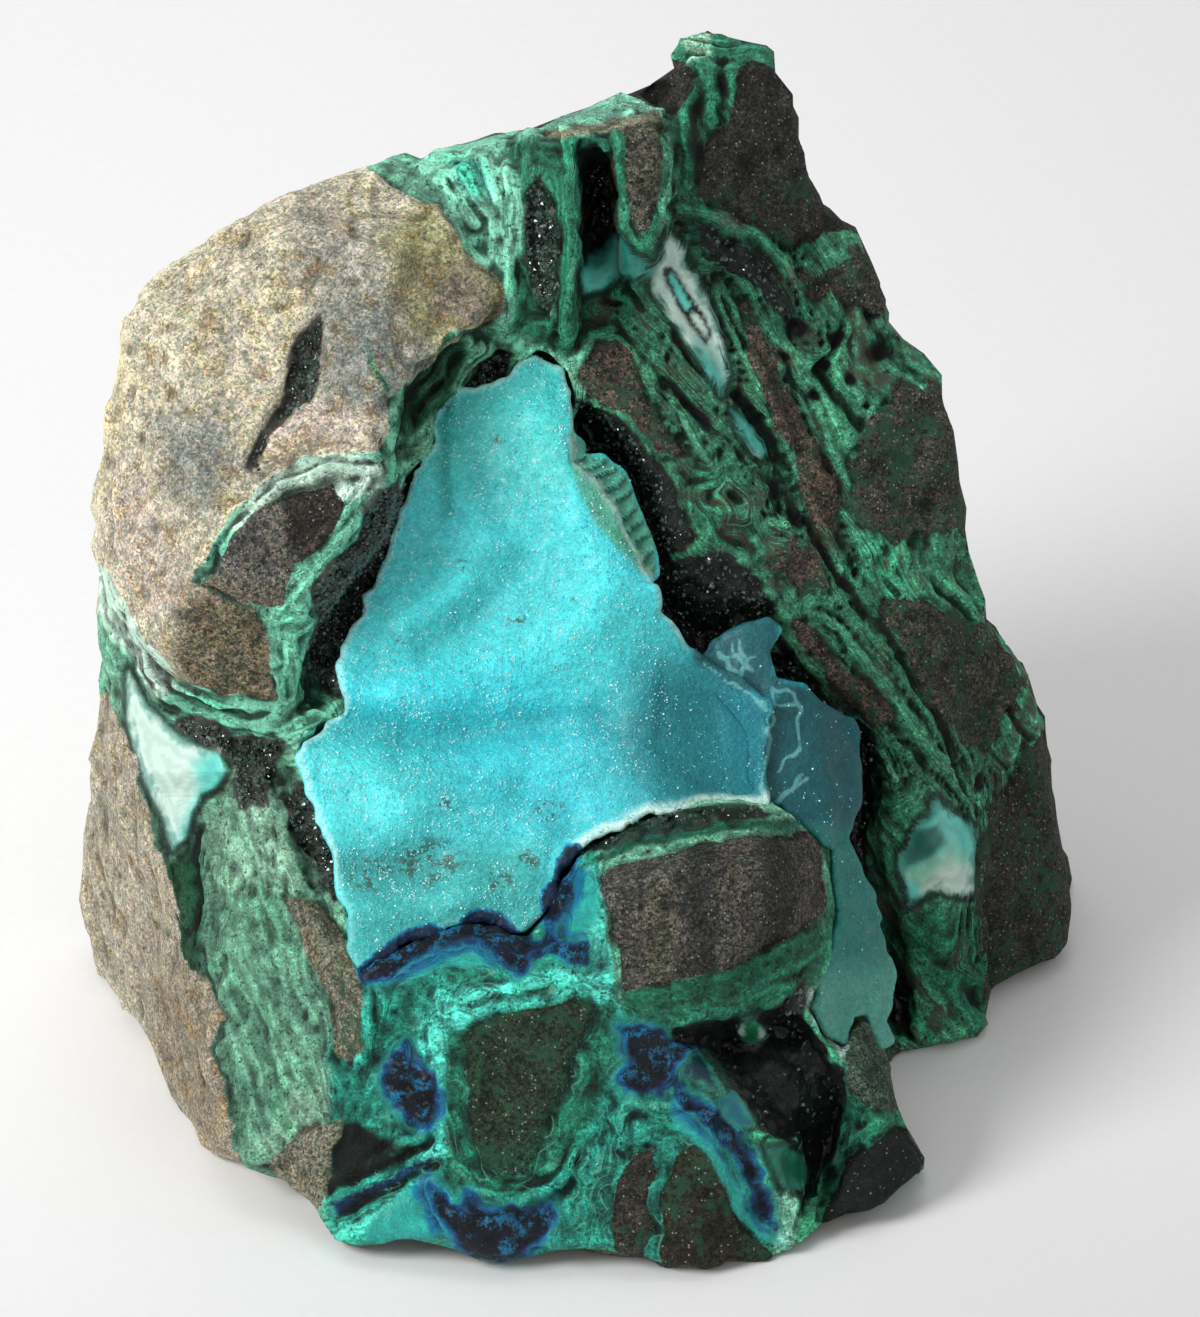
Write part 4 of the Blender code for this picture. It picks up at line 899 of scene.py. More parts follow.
def rock_material():
    """Stones, veins, dark linings, azurite and milky windows."""
    material, tree, shader = new_material("veined_rock")
    place = node(tree, "TexCoord", out="Object")
    fine = calc(tree, "SUBTRACT", grain_noise(tree, place, 3600.0, 4.0, 0.75), 0.5)
    broad = calc(tree, "SUBTRACT", grain_noise(tree, place, 230.0, 3.0), 0.5)
    middle = calc(tree, "SUBTRACT", grain_noise(tree, place, 750.0, 3.0, 0.6), 0.5)
    cavity_shade = stored(tree, "cavity_shade")
    ridge = stored(tree, "ridge")
    lined = stored(tree, "lined")
    streaks = stored(tree, "streaks")
    budded = stored(tree, "budded")

    def swing(value, amount):
        """A factor about 1 that follows a value centred on 0."""
        return calc(tree, "ADD", 1.0, calc(tree, "MULTIPLY", value, amount))

    def both(*factors):
        """Several values multiplied."""
        total = factors[0]
        for factor in factors[1:]:
            total = calc(tree, "MULTIPLY", total, factor)
        return total

    # stone
    base = stored(tree, "stone_tint", "Color")
    lightness = node(tree, "RGBToBW", {"Color": base})
    grain = placed(tree, crystal_grain(), Per_Metre=3300.0, Hue=0.18,
                   Contrast=ramped(tree, lightness, 0.03, 0.42, 1.8, 0.9))
    stone = blended(tree, 1.0, base, grain["Tint"], "MULTIPLY")
    # Toned by random noise, with painted shade in hollows and painted light on ridges.
    stone = toned(tree, stone, both(swing(broad, 0.6), swing(middle, 1.1), swing(fine, 1.3),
                                    ramped(tree, cavity_shade, -0.2, 0.28, 1.25, 0.4)))
    rust = ramped(tree, grain_noise(tree, place, 420.0, 3.0, 0.7), 0.48, 0.66, 0.0, 0.8)
    rusty = both(rust, ramped(tree, lightness, 0.06, 0.3))
    stone = blended(tree, rusty, stone, shade("B08A50"), "SOFT_LIGHT")
    chips = ramped(tree, grain_noise(tree, place, 1700.0, 3.0, 0.75), 0.33, 0.43, 0.45, 1.0)
    stone = toned(tree, stone, chips)
    moss_grain = grain_noise(tree, place, 1100.0, 4.0, 0.75)
    moss = ramped(tree, calc(tree, "ADD", moss_grain, both(broad, 0.8)), 0.50, 0.60)
    stone = blended(tree, both(moss, calc(tree, "MAXIMUM", streaks, budded), 0.7), stone, shade("235A40"))
    # Painted glints: small bright points laid into the stones' colour.
    glint = placed(tree, painted_glints(), Per_Metre=3100.0, Share=0.09)["Mask"]
    glint = both(glint, ramped(tree, lightness, 0.04, 0.4, 0.55, 0.25))
    stone = blended(tree, glint, stone, shade("D6D4CC"))

    # vein
    rosette = node(tree, "TexVoronoi", {"Vector": place, "Scale": 290.0}, out="Distance")
    layer = calc(tree, "ADD", stored(tree, "layer"), both(rosette, budded, 3.4))
    threads = placed(tree, flow_threads(), Layer=layer)
    thin = calc(tree, "SUBTRACT", threads["Fine"], 0.5)
    thick = calc(tree, "SUBTRACT", threads["Broad"], 0.5)
    bands = placed(tree, growth_bands(), Layer=layer, Period=1.15, Wander=0.5)
    bare = stored(tree, "vein_tint", "Color")
    vein = blended(tree, 0.45, bare, grain["Tint"], "MULTIPLY")
    vein = blended(tree, ramped(tree, thick, 0.02, 0.2, 0.0, 0.5), vein, shade("1F7A62"), "SOFT_LIGHT")
    holes = ramped(tree, grain_noise(tree, place, 1600.0, 4.0, 0.75), 0.37, 0.44, 0.2, 1.0)
    led = calc(tree, "MINIMUM", calc(tree, "ADD", calc(tree, "ADD", lined, streaks), 0.15), 1.0)
    # Toned by threads, bands and noise, with painted shade in hollows and painted light on ridges.
    vein = toned(tree, vein, both(swing(thin, both(led, 2.2)), swing(thick, both(led, 1.7)),
                                  swing(middle, 1.0), swing(fine, 2.0), swing(broad, 0.6), holes,
                                  ramped(tree, bands["Tone"], 0.0, 1.0, 0.72, 1.12),
                                  ramped(tree, cavity_shade, -0.20, 0.24, 1.75, 0.14)))
    brown = ramped(tree, calc(tree, "SUBTRACT", grain_noise(tree, place, 260.0, 2.0), thick), 0.54, 0.68)
    vein = blended(tree, both(brown, streaks, 0.7), vein, shade("56463A"))
    vein = blended(tree, both(ramped(tree, thick, -0.12, -0.22), streaks, 0.85), vein, shade("070D0A"))
    patchy = ramped(tree, grain_noise(tree, place, 200.0, 2.0), 0.42, 0.6)
    pale = both(bands["Line"], calc(tree, "ADD", both(lined, 0.2), both(budded, 0.5)), patchy,
                ramped(tree, node(tree, "RGBToBW", {"Color": bare}), 0.03, 0.15))
    raised = both(ramped(tree, ridge, 0.5, 1.1, 0.0, 0.45), ramped(tree, thin, -0.1, 0.1))
    pale = calc(tree, "MAXIMUM", pale, raised)
    vein = blended(tree, pale, vein, shade("84C4A6"))
    vein = blended(tree, ramped(tree, ridge, -0.25, -0.8), vein, shade("0A1611"))
    vein = blended(tree, ramped(tree, stored(tree, "pit"), 0.35, 0.7), vein, shade("070D0A"))

    # dark crystal lining
    own = stored(tree, "dark_tint", "Color")
    # Painted shade in the lining's hollows and painted light on its knobs.
    deep_shade = ramped(tree, cavity_shade, -0.3, 0.3, 1.7, 0.4)
    lining = toned(tree, own, both(ramped(tree, middle, -0.15, 0.2, 0.45, 1.5), deep_shade))
    # Painted glints on the dark lining.
    lining = blended(tree, calc(tree, "MULTIPLY", glint, 0.35), lining, shade("A8C4B8"))

    # azurite: cyan at its very edge, then cobalt, then nearly black
    buds = node(tree, "TexVoronoi", {"Vector": place, "Scale": 700.0}, out="Distance")
    azure_depth = stored(tree, "azure")
    ragged = calc(tree, "ADD", both(middle, 0.9), ramped(tree, buds, 0.1, 0.7, 0.2, -0.2))
    azure_edge = calc(tree, "ADD", azure_depth, ragged)
    azurite = blended(tree, ramped(tree, azure_edge, -0.4, 0.05), shade("1E90A0"), shade("0C4674"))
    azurite = blended(tree, ramped(tree, azure_edge, 0.0, 0.35), azurite, shade("071F42"))
    azurite = blended(tree, ramped(tree, azure_edge, 0.2, 0.6), azurite, shade("040A16"))
    veined = ramped(tree, calc(tree, "ADD", fine, both(middle, 1.5)), 0.0, 0.22, 0.0, 0.85)
    azurite = blended(tree, veined, azurite, shade("14688E"))
    # Toned by noise, with painted shade in hollows and painted light on the buds.
    azurite = toned(tree, azurite, both(swing(fine, 1.6), ramped(tree, cavity_shade, -0.2, 0.25, 1.8, 0.3)))

    # sky-blue fringes and milky windows
    cloud = grain_noise(tree, place, 600.0, 3.0)
    fringe = calc(tree, "ADD", azure_depth, both(thick, 1.5))
    skyish = blended(tree, ramped(tree, fringe, -0.15, -0.75), shade("0A4070"), shade("1284AC"))
    skyish = blended(tree, ramped(tree, fringe, -0.8, -1.5), skyish, shade("34C4B6"))
    skyish = toned(tree, skyish, both(swing(thin, 1.2), swing(fine, 1.2), swing(middle, 1.0)))
    milk_depth = stored(tree, "milk")
    cloudy = calc(tree, "ADD", milk_depth, both(calc(tree, "SUBTRACT", cloud, 0.5), 3.5))
    own_milk = stored(tree, "milk_tint", "Color")
    milk = blended(tree, ramped(tree, cloudy, -0.1, 0.9, 0.25, 1.0), shade("2A8476"), own_milk)
    agate = placed(tree, growth_bands(), Layer=milk_depth, Period=1.4, Wander=0.9)["Tone"]
    milk = toned(tree, milk, ramped(tree, agate, 0.0, 1.0, 0.86, 1.02))

    wobble = calc(tree, "ADD", calc(tree, "MULTIPLY", fine, 0.6), both(thick, streaks, -2.2))
    covers = {}
    for name, edge in (("stone", 0.07), ("sky", 0.3), ("azure", 0.12), ("milk", 0.3), ("dark", 0.2)):
        covers[name] = ramped(tree, calc(tree, "ADD", stored(tree, name), wobble), -edge, edge)
    covers["azure"] = ramped(tree, azure_edge, -0.55, -0.3)
    rim = both(ramped(tree, milk_depth, -1.0, -0.35), 0.85)
    vein = blended(tree, rim, vein, shade("0E2C22"))
    halo = both(ramped(tree, azure_edge, -1.4, -0.5), 0.5)
    vein = blended(tree, halo, vein, shade("2FA89E"))
    colour = blended(tree, covers["stone"], vein, stone)
    for name, over in (("sky", skyish), ("azure", azurite), ("milk", milk), ("dark", lining)):
        colour = blended(tree, covers[name], colour, over)

    gloss = 0.62
    coat = 0.0
    for name, rough, lacquer in (("stone", 0.85, 0.0), ("sky", 0.55, 0.05), ("azure", 0.55, 0.05),
                                 ("milk", 0.38, 0.12), ("dark", 0.3, 0.3)):
        gloss = node(tree, "Mix", {0: covers[name], 2: gloss, 3: rough})
        coat = node(tree, "Mix", {0: covers[name], 2: coat, 3: lacquer})
    quiet = calc(tree, "SUBTRACT", 1.0, calc(tree, "MULTIPLY", covers["milk"], 0.9))
    tooth = calc(tree, "ADD", both(grain["Height"], 0.8), both(fine, 1.4))
    tooth = calc(tree, "ADD", tooth, both(thin, calc(tree, "SUBTRACT", 1.0, covers["stone"]), 1.8))
    height = calc(tree, "MULTIPLY", tooth, quiet)
    bump = node(tree, "Bump", {"Height": height, "Distance": 0.00045, "Strength": 1.0})
    feed(tree, shader, Base_Color=colour, Roughness=gloss, Coat_Weight=coat, Normal=bump)
    shader.inputs["Coat Roughness"].default_value = 0.15
    shader.inputs["Specular IOR Level"].default_value = 0.35
    return material


def crust_material():
    """The sugary blue druse and its plates."""
    material, tree, shader = new_material("blue_crust")
    place = node(tree, "TexCoord", out="Object")
    fine = calc(tree, "SUBTRACT", grain_noise(tree, place, 2300.0, 3.0), 0.5)
    cloud = calc(tree, "SUBTRACT", grain_noise(tree, place, 160.0, 3.0), 0.5)
    mottle = calc(tree, "SUBTRACT", grain_noise(tree, place, 700.0, 2.0), 0.5)
    grain = placed(tree, crystal_grain(), Per_Metre=3000.0, Contrast=0.26, Hue=0.0)
    tone = calc(tree, "ADD", 0.94, calc(tree, "MULTIPLY", cloud, 0.3))
    # Painted light on the crust's raised folds and painted shade in its sunk ones.
    lit_fold = calc(tree, "MULTIPLY", stored(tree, "fold"), 0.10)
    tone = calc(tree, "MULTIPLY", tone, calc(tree, "ADD", 1.0, lit_fold))
    tone = calc(tree, "MULTIPLY", tone, calc(tree, "ADD", 1.0, calc(tree, "MULTIPLY", mottle, 0.2)))
    # Painted shade in the crust's troughs and painted light on its crests.
    tone = calc(tree, "MULTIPLY", tone, ramped(tree, stored(tree, "cavity_shade"), -0.2, 0.25, 1.12, 0.85))
    colour = blended(tree, 1.0, stored(tree, "crust_tint", "Color"), grain["Tint"], "MULTIPLY")
    colour = toned(tree, colour, tone)
    spotty = ramped(tree, calc(tree, "ADD", mottle, fine), -0.02, 0.12)
    dirt = calc(tree, "MULTIPLY", stored(tree, "dirt"), spotty)
    colour = blended(tree, calc(tree, "MULTIPLY", dirt, 0.85), colour, shade("3A5044"))
    crack = ramped(tree, stored(tree, "crack"), 0.35, 0.8)
    colour = blended(tree, calc(tree, "MULTIPLY", crack, 0.6), colour, shade("6FB4B4"))
    pale = calc(tree, "MULTIPLY", stored(tree, "rim"), ramped(tree, fine, -0.25, 0.1, 0.35, 1.0))
    colour = blended(tree, pale, colour, shade("D2EDE2"))
    # Painted glints: small bright points laid into the crust's colour.
    glints = placed(tree, painted_glints(), Per_Metre=2600.0, Share=0.03)["Mask"]
    glints = calc(tree, "MULTIPLY", glints, stored(tree, "glint_share"))
    colour = blended(tree, calc(tree, "MULTIPLY", glints, 0.5), colour, shade("C8F0EE"))
    azure = calc(tree, "ADD", stored(tree, "azure"), calc(tree, "MULTIPLY", mottle, 0.6))
    cobalt = blended(tree, ramped(tree, azure, 0.0, 0.45), shade("12688E"), shade("081F38"))
    cobalt = toned(tree, cobalt, ramped(tree, fine, -0.2, 0.25, 0.5, 2.2))
    colour = blended(tree, ramped(tree, azure, -0.15, 0.1), colour, cobalt)
    height = calc(tree, "ADD", grain["Height"], calc(tree, "MULTIPLY", fine, 0.8))
    bump = node(tree, "Bump", {"Height": height, "Distance": 0.00025, "Strength": 1.0})
    feed(tree, shader, Base_Color=colour, Normal=bump)
    shader.inputs["Roughness"].default_value = 0.5
    shader.inputs["Specular IOR Level"].default_value = 0.35
    shader.inputs["Coat Weight"].default_value = 0.08
    shader.inputs["Coat Roughness"].default_value = 0.25
    return material


def point_material(name, low, high, roughness):
    """Clear or dark crystals, each with its own tone."""
    material, tree, shader = new_material(name)
    place = node(tree, "TexCoord", out="Object")
    own = grain_noise(tree, place, 900.0, 1.0)
    colour = blended(tree, ramped(tree, own, 0.35, 0.65), low, high)
    frost = grain_noise(tree, place, 5200.0, 2.0)
    colour = toned(tree, colour, ramped(tree, frost, 0.2, 0.8, 0.85, 1.15))
    feed(tree, shader, Base_Color=colour)
    shader.inputs["Roughness"].default_value = roughness
    shader.inputs["IOR"].default_value = 1.54
    shader.inputs["Coat Weight"].default_value = 0.5
    shader.inputs["Coat Roughness"].default_value = 0.06
    return material


def floor_material(colour):
    """The pale table, with painted shade that darkens it towards the front and towards the right."""
    material, tree, shader = new_material("studio_floor")
    place = node(tree, "TexCoord", out="Object")
    fibre = grain_noise(tree, place, 900.0, 2.0)
    paper_and_shade = toned(tree, (*colour,), ramped(tree, fibre, 0.3, 0.7, 0.985, 1.0))
    near = node(tree, "SeparateXYZ", {"Vector": place}, out="Y")
    # Painted shade: darker towards the front and towards the right, as the light falls off.
    paper_and_shade = toned(tree, paper_and_shade, ramped(tree, near, 0.05, -0.12, 0.98, 0.70))
    paper_and_shade = toned(tree, paper_and_shade, ramped(tree, near.node.outputs["X"], -0.05, 0.12, 1.0, 0.89))
    feed(tree, shader, Base_Color=paper_and_shade)
    shader.inputs["Roughness"].default_value = 0.7
    return material


# ---------------------------------------------------------------- pieces

# Outlines of the crust's plates, as they lie on the face.
DRUSE_OUTLINE = [
    (-3.7, 30.5), (-1.5, 28.8), (-0.4, 26), (-0.5, 22), (0.1, 19.5), (2.3, 17), (4.1, 13), (6.8, 9),
    (8.1, 5), (10.3, 1.5), (12.3, 0), (15.8, -2.5), (19.8, -5), (19.2, -8.5), (18.7, -12),
    (19.1, -14.2), (16.8, -13.8), (12.3, -13.7), (7.3, -15.2), (2.3, -17.6), (-0.2, -19.2),
    (-1.8, -21.8), (-3.3, -25), (-4.9, -27.0), (-8.7, -25.7), (-12.7, -25.9), (-15.7, -27.4),
    (-19.2, -29.3), (-21.8, -30), (-22.3, -26), (-23.7, -22), (-24.7, -17), (-26.2, -13),
    (-28.2, -10), (-25.2, -6.5), (-23.2, -4), (-23.7, -1), (-22.2, 2), (-19.7, 7), (-18.2, 10.5),
    (-17.2, 15), (-16.9, 18), (-14.2, 20.5), (-13.7, 24), (-12.5, 26), (-9.7, 26.6), (-7.2, 28.5),
]
LEAF_OUTLINE = [
    (-0.9, 22.3), (0.8, 21.8), (1.1, 20.1), (2.9, 20.2), (4.9, 18.4), (6.1, 15.2), (7.6, 12),
    (8.0, 8.8), (6.2, 8.6), (2.0, 14.0), (-0.8, 19.0),
]
# Tints of the crust: colour, outline, width of its soft edge.
CRUST_BASE = "42CCD2"
CRUST_PATCHES = [
    ("42C0BC", [(-14, 34), (4, 34), (2, 18), (-4, 14), (-18, 18)], 8.0),
    ("42CACE", [(-20, 14), (2, 14), (8, 2), (-4, -8), (-26, -2)], 9.0),
    ("3ACCD8", [(-24, -2), (-8, 0), (4, -6), (8, -14), (-4, -18), (-14, -9), (-24, -6)], 6.0),
    ("4ED6D8", [(-28, -6), (-16, -10), (-14, -24), (-26, -24)], 6.0),
    ("3AACA8", [(-24, -20), (-4, -18), (-2, -30), (-24, -32)], 4.0),
    ("147880", [(6, 0), (16, 0), (24, -4), (22, -16), (8, -16), (2, -8)], 8.0),
    ("1A8492", [(12, 0), (24, 0), (24, -14), (15, -14)], 5.0),
    ("1A6068", [(11.6, 6), (20.4, 6), (19.8, -2), (23, -4.4), (16, -3.4), (12, -0.4)], 0.8),
    ("0F585E", [(19.6, -4.6), (21, -3), (30, -3), (30, -19), (24, -20), (19.4, -14.4), (18.8, -10)], 0.8),
    ("207870", [(22, -17), (32, -16), (34, -40), (22, -40)], 2.0),
    ("4C9A8C", [(22, -31), (34, -30), (34, -40), (22, -40)], 5.0),
    ("4A9C84", LEAF_OUTLINE, 0.6),
]
# Folds of the crust: height in mm, half width, and the line they follow.
CRUST_FOLDS = [
    (1.8, 3.6, [(-3, 24), (0.5, 16), (3, 9), (1, 4), (-4, 0.5), (-10, -2.5), (-15, -3.5)]),
    (-1.6, 2.0, [(-29, -4.4), (-22, -6.8), (-14, -8), (-6, -7), (2, -6)]),
    (1.1, 2.0, [(-26, -1.6), (-21.5, -2.6), (-19, -3.4)]),
    (1.3, 2.6, [(-28, -9.5), (-21, -10.6), (-17, -14.6)]),
    (-1.4, 2.6, [(-21, -20.5), (-14.5, -20)]),
    (0.9, 2.4, [(-24, -25), (-18, -24.6), (-12, -23)]),
    (-1.0, 2.4, [(-5.5, -13.5), (-1.5, -16)]),
    (0.9, 2.2, [(-12, -24), (-6, -22), (-4, -18)]),
    (0.7, 1.2, [(-1, -19.6), (4, -17), (10, -14.8), (19, -14)]),
    (-2.6, 4.5, [(13, 2), (15, -5), (16, -12)]),
    (-0.7, 0.8, [(-13.2, 26), (-13.6, 20), (-13, 15)]),
    (0.8, 1.5, [(-17, 4), (-12, 7), (-9, 12)]),
    (-0.8, 1.5, [(-15, 1), (-10, 4), (-5, 10)]),
    (-0.6, 1.6, [(-10, 20), (-8, 14), (-10, 10)]),
]
# Where a plate would show through the crust, which is made smooth.
CRUST_SMOOTH = [(8, 1.5), (12, 0), (15.8, -2.5), (19.6, -5), (19, -8.5), (18.4, -12), (18.8, -13.8),
                (12, -13.2), (7, -9)]
SMOOTH_ROUNDS = 160  # of averaging over the neighbours there
# Cracks between the broken plates.
CRUST_CRACKS = [
    [(22.3, -4.6), (22.1, -9), (20, -11)], [(22.6, -11.4), (21.4, -13), (20, -14.2)],
    [(19.2, -14.6), (20.6, -13.4), (23.4, -11.6)],
    [(19.6, -2.8), (21.6, -3.2), (22.2, -4.2), (20.2, -4.6), (19.4, -3.2)],
    [(14.2, 0.8), (15.2, -0.6), (16.6, -1.6)], [(15.4, 1.4), (16, 0), (17.6, -0.8)],
    [(14.8, 0.2), (16.2, 0.4), (17.6, 0.2)], [(16.4, 1.6), (16.8, 0.2), (16.6, -1.4)],
    [(12.6, -0.2), (15.8, -2.5), (19.6, -5), (19, -8.5), (18.4, -12), (19, -14.4)],
]
# Smudges on the crust: middle and radius.
DIRT_SPOTS = [(-15, -20.3, 5.2), (-20.5, -21.5, 3.4), (-8, -22, 2.6), (-2.8, -15, 2.2), (-6, 4, 1.4),
              (-11.5, 9.5, 1.2), (-8, 22, 1.0), (0, 6, 0.9), (-13, -14.5, 1.6), (-5, -20, 2.0),
              (-18, 2, 1.2)]


WEIGHT_STEPS = 10  # levels of how far the hidden parts of the rock are thinned out


def build_rock(sizes):
    """The host rock, with its relief and the maps that its material reads."""
    rock = cad_copy("veined_rock", "host_rock")
    baked(rock, [("REMESH", {"mode": "VOXEL", "voxel_size": sizes.rock_cell}),
                 ("SMOOTH", {"factor": 0.5, "iterations": 6})])
    points, normals = places(rock.data)
    covered = depth_in(points[:, :2], DRUSE_OUTLINE, 3.0)
    under = eased(covered - 0.6, 0.6) * eased(normals[:, 2] - 0.2, 0.3)
    found = survey(points, normals)
    lift = rock_relief(points, found) * sizes.relief * (1 - under)
    points += normals * (0.5 * lift[:, None] + 0.5 * neighbours_mean(rock.data, lift[:, None], 1))
    put_places(rock.data, points)
    hidden = np.maximum(1 - found["front"], under)
    weights = rock.vertex_groups.new(name="thin_out")
    for step in range(1, WEIGHT_STEPS + 1):
        picked = np.nonzero(np.ceil(hidden * WEIGHT_STEPS) == step)[0]
        if len(picked):
            weights.add([int(number) for number in picked], step / WEIGHT_STEPS, "REPLACE")
    rock.data.calc_loop_triangles()
    share = sizes.rock_triangles / len(rock.data.loop_triangles)
    baked(rock, [("DECIMATE", {"ratio": share, "vertex_group": "thin_out", "vertex_group_factor": 1.0})])
    rock.vertex_groups.clear()
    points, normals = places(rock.data)
    smooth = neighbours_mean(rock.data, normals, 4)
    smooth /= np.linalg.norm(smooth, axis=1)[:, None]
    found = survey(points, smooth)
    for name in ("stone", "stone_tint", "vein_tint", "dark_tint", "milk_tint", "layer", "lined", "dark",
                 "azure", "sky", "milk", "streaks", "budded", "pit"):
        store(rock.data, name, found[name])
    store(rock.data, "ridge", 1.2 * neighbours_mean(rock.data, found["ridge"][:, None], 1)[:, 0])
    # Depth below the surroundings, which the material turns into painted shade in hollows and painted light
    # on ridges.
    store(rock.data, "cavity_shade", hollowness(rock.data, 6) * (0.3 + 0.7 * found["front"]))
    finished(rock, rock_material())
    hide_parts("host_rock")


def fold_height(flat):
    """How high the crust's folds lift it at each point, in mm."""
    height = np.zeros(len(flat))
    for rise, width, line in CRUST_FOLDS:
        near, gap, _ = near_line(flat, line, 3 * width, False)
        height[near] += rise * np.exp(-((gap / width) ** 2))
    return height


def build_crust(sizes):
    """The druse and its broken plates, with folds, ragged edge and tint."""
    crust = cad_copy("blue_crust", "chrysocolla_crust")
    baked(crust, [("REMESH", {"mode": "VOXEL", "voxel_size": sizes.crust_cell}),
                  ("SMOOTH", {"factor": 0.5, "iterations": 6})])
    points, normals = places(crust.data)
    front = eased(normals[:, 2] - 0.3, 0.4)
    lift = 0.26 * swell(points, 3.4, 61) + 0.09 * swell(points, 1.2, 62) + 0.06 * swell(points, 0.6, 63)
    lift += 0.35 * swell(points, 7.0, 60)
    flat = points[:, :2]
    folds = fold_height(flat)
    edge = depth_in(flat, DRUSE_OUTLINE, 6.0)
    loose = 1 - eased(np.abs(depth_in(flat, DRUSE_OUTLINE, 3.0)), 2.5)
    jag = np.stack([0.7 * swell(flat_3d(flat), 3.4, 81 + k) + 0.35 * swell(flat_3d(flat), 1.2, 83 + k)
                    for k in (0, 1)], axis=1)
    outward = normals * (1 - front)[:, None] * 0.25
    points += outward + normals * (lift * front)[:, None]
    broken = np.maximum(loose, 0.6 * eased(-depth_in(flat, DRUSE_OUTLINE, 2.0), 1.0))
    points[:, :2] += jag * broken[:, None]
    points[:, 2] += folds * eased(normals[:, 2] + 0.4, 0.4)
    eased_out = eased(depth_in(flat, CRUST_SMOOTH), 1.2) * front
    level = neighbours_mean(crust.data, points[:, 2:], SMOOTH_ROUNDS)[:, 0]
    points[:, 2] += (level - points[:, 2]) * eased_out
    leaf = eased(depth_in(flat, LEAF_OUTLINE, 2.0), 0.4) * front * (edge < 0)
    slope = (flat[:, 0] * 0.56 - flat[:, 1] * 0.82) / 1.5 + 0.35 * swell(points, 2.0, 64)
    tread = slope - np.floor(slope)
    points[:, 2] += leaf * (0.75 * tread - 0.3)
    put_places(crust.data, points)
    points, normals = places(crust.data)
    flat = seen(points)
    bent = flat + 0.6 * np.stack([swell(points, 4.0, 65), swell(points, 4.0, 66)], axis=1)
    colour = np.tile(shade(CRUST_BASE), (len(points), 1))
    for code, outline, soft in CRUST_PATCHES:
        share = eased(depth_in(bent, outline, soft + 1) + soft / 2, soft)[:, None]
        colour = colour * (1 - share) + share * np.array(shade(code))
    # Painted light and shade on the leaf's steps: lighter where each step stands up, darker at its foot.
    colour *= 1 + (leaf * (0.75 * tread - 0.45))[:, None]
    store(crust.data, "crust_tint", colour)
    edge = depth_in(flat - jag * loose[:, None], DRUSE_OUTLINE, 3.0)
    low_side = eased(-12 - flat[:, 1], 3.0) * eased(flat[:, 0] + 3, 4.0)
    wide = 0.25 + 1.1 * low_side
    rim = np.where(edge > -0.5, 1 - eased(edge / wide, 1.0), 0.0)
    bare = eased(flat[:, 0] - 10, 3.0) * eased(flat[:, 1] + 13.5, 1.0)
    rim *= (0.45 + 0.55 * low_side) * (1 - 0.7 * eased(-21 - flat[:, 1], 2.0))
    rim *= (1 - bare) * eased(normals[:, 2] + 0.6, 0.4)
    store(crust.data, "rim", rim)
    # Height of the folds, which the material turns into painted light on crests and painted shade in troughs.
    store(crust.data, "fold", fold_height(flat).clip(-1.2, 1.5))
    # Share of painted glints on the crust: more towards its upper left, and fading out at its edge.
    upper_left = eased(flat[:, 1] * 0.3 - flat[:, 0] * 0.5 + 5, 12)
    store(crust.data, "glint_share", eased(edge + 0.3, 0.6) * (0.3 + 0.7 * upper_left))
    store(crust.data, "azure", deepest(flat, AZURES[:1]))
    dirt = np.zeros(len(points))
    for x, y, radius in DIRT_SPOTS:
        dirt = np.maximum(dirt, 1 - np.hypot(flat[:, 0] - x, (flat[:, 1] - y) * 1.4) / radius)
    store(crust.data, "dirt", eased(dirt.clip(0), 0.6))
    crack = np.zeros(len(points))
    strayed = flat + 0.35 * np.stack([swell(flat_3d(flat), 1.0, 67), swell(flat_3d(flat), 1.0, 68)], axis=1)
    for line in CRUST_CRACKS:
        near, gap, _ = near_line(strayed, line, 2.0, False)
        crack[near] = np.maximum(crack[near], 1 - gap / 0.42)
    store(crust.data, "crack", crack.clip(0))
    # Depth below the surroundings, for the crust's painted shade in troughs and painted light on crests.
    store(crust.data, "cavity_shade", hollowness(crust.data, 8))
    finished(crust, crust_material())
    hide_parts("chrysocolla_crust")


def flat_3d(flat):
    """Points on the face with no depth, so that what they drive doesn't change through a plate."""
    return np.column_stack([flat, np.zeros(len(flat))])


def crystal_points(name, spots, leans, sizes, draw):
    """Six-sided points, each a short prism with a pointed end, as one mesh."""
    turn = np.arange(6) * math.pi / 3
    count = len(spots)
    up = leans / np.linalg.norm(leans, axis=1)[:, None]
    side = np.cross(up, np.where(np.abs(up[:, :1]) < 0.8, (1.0, 0, 0), (0, 1.0, 0)))
    side /= np.linalg.norm(side, axis=1)[:, None]
    third = np.cross(up, side)
    spin = draw.uniform(0, math.pi / 3, count)
    corners = np.empty((count, 13, 3))
    for number in range(6):
        x = np.cos(turn[number] + spin)[:, None]
        y = np.sin(turn[number] + spin)[:, None]
        out = (side * x + third * y) * sizes[:, :1]
        corners[:, number] = spots + out - up * sizes[:, 1:2] * 0.4
        corners[:, 6 + number] = spots + out * 0.95 + up * sizes[:, 1:2] * 0.35
    corners[:, 12] = spots + up * sizes[:, 1:2]
    faces = [(n, (n + 1) % 6, 6 + (n + 1) % 6, 6 + n) for n in range(6)]
    faces += [(6 + n, 6 + (n + 1) % 6, 12) for n in range(6)]
    every = [tuple(13 * k + corner for corner in face) for k in range(count) for face in faces]
    mesh = bpy.data.meshes.new(name)
    mesh.from_pydata(corners.reshape(-1, 3).tolist(), [], every)
    mesh.update()
    return link(name, mesh)


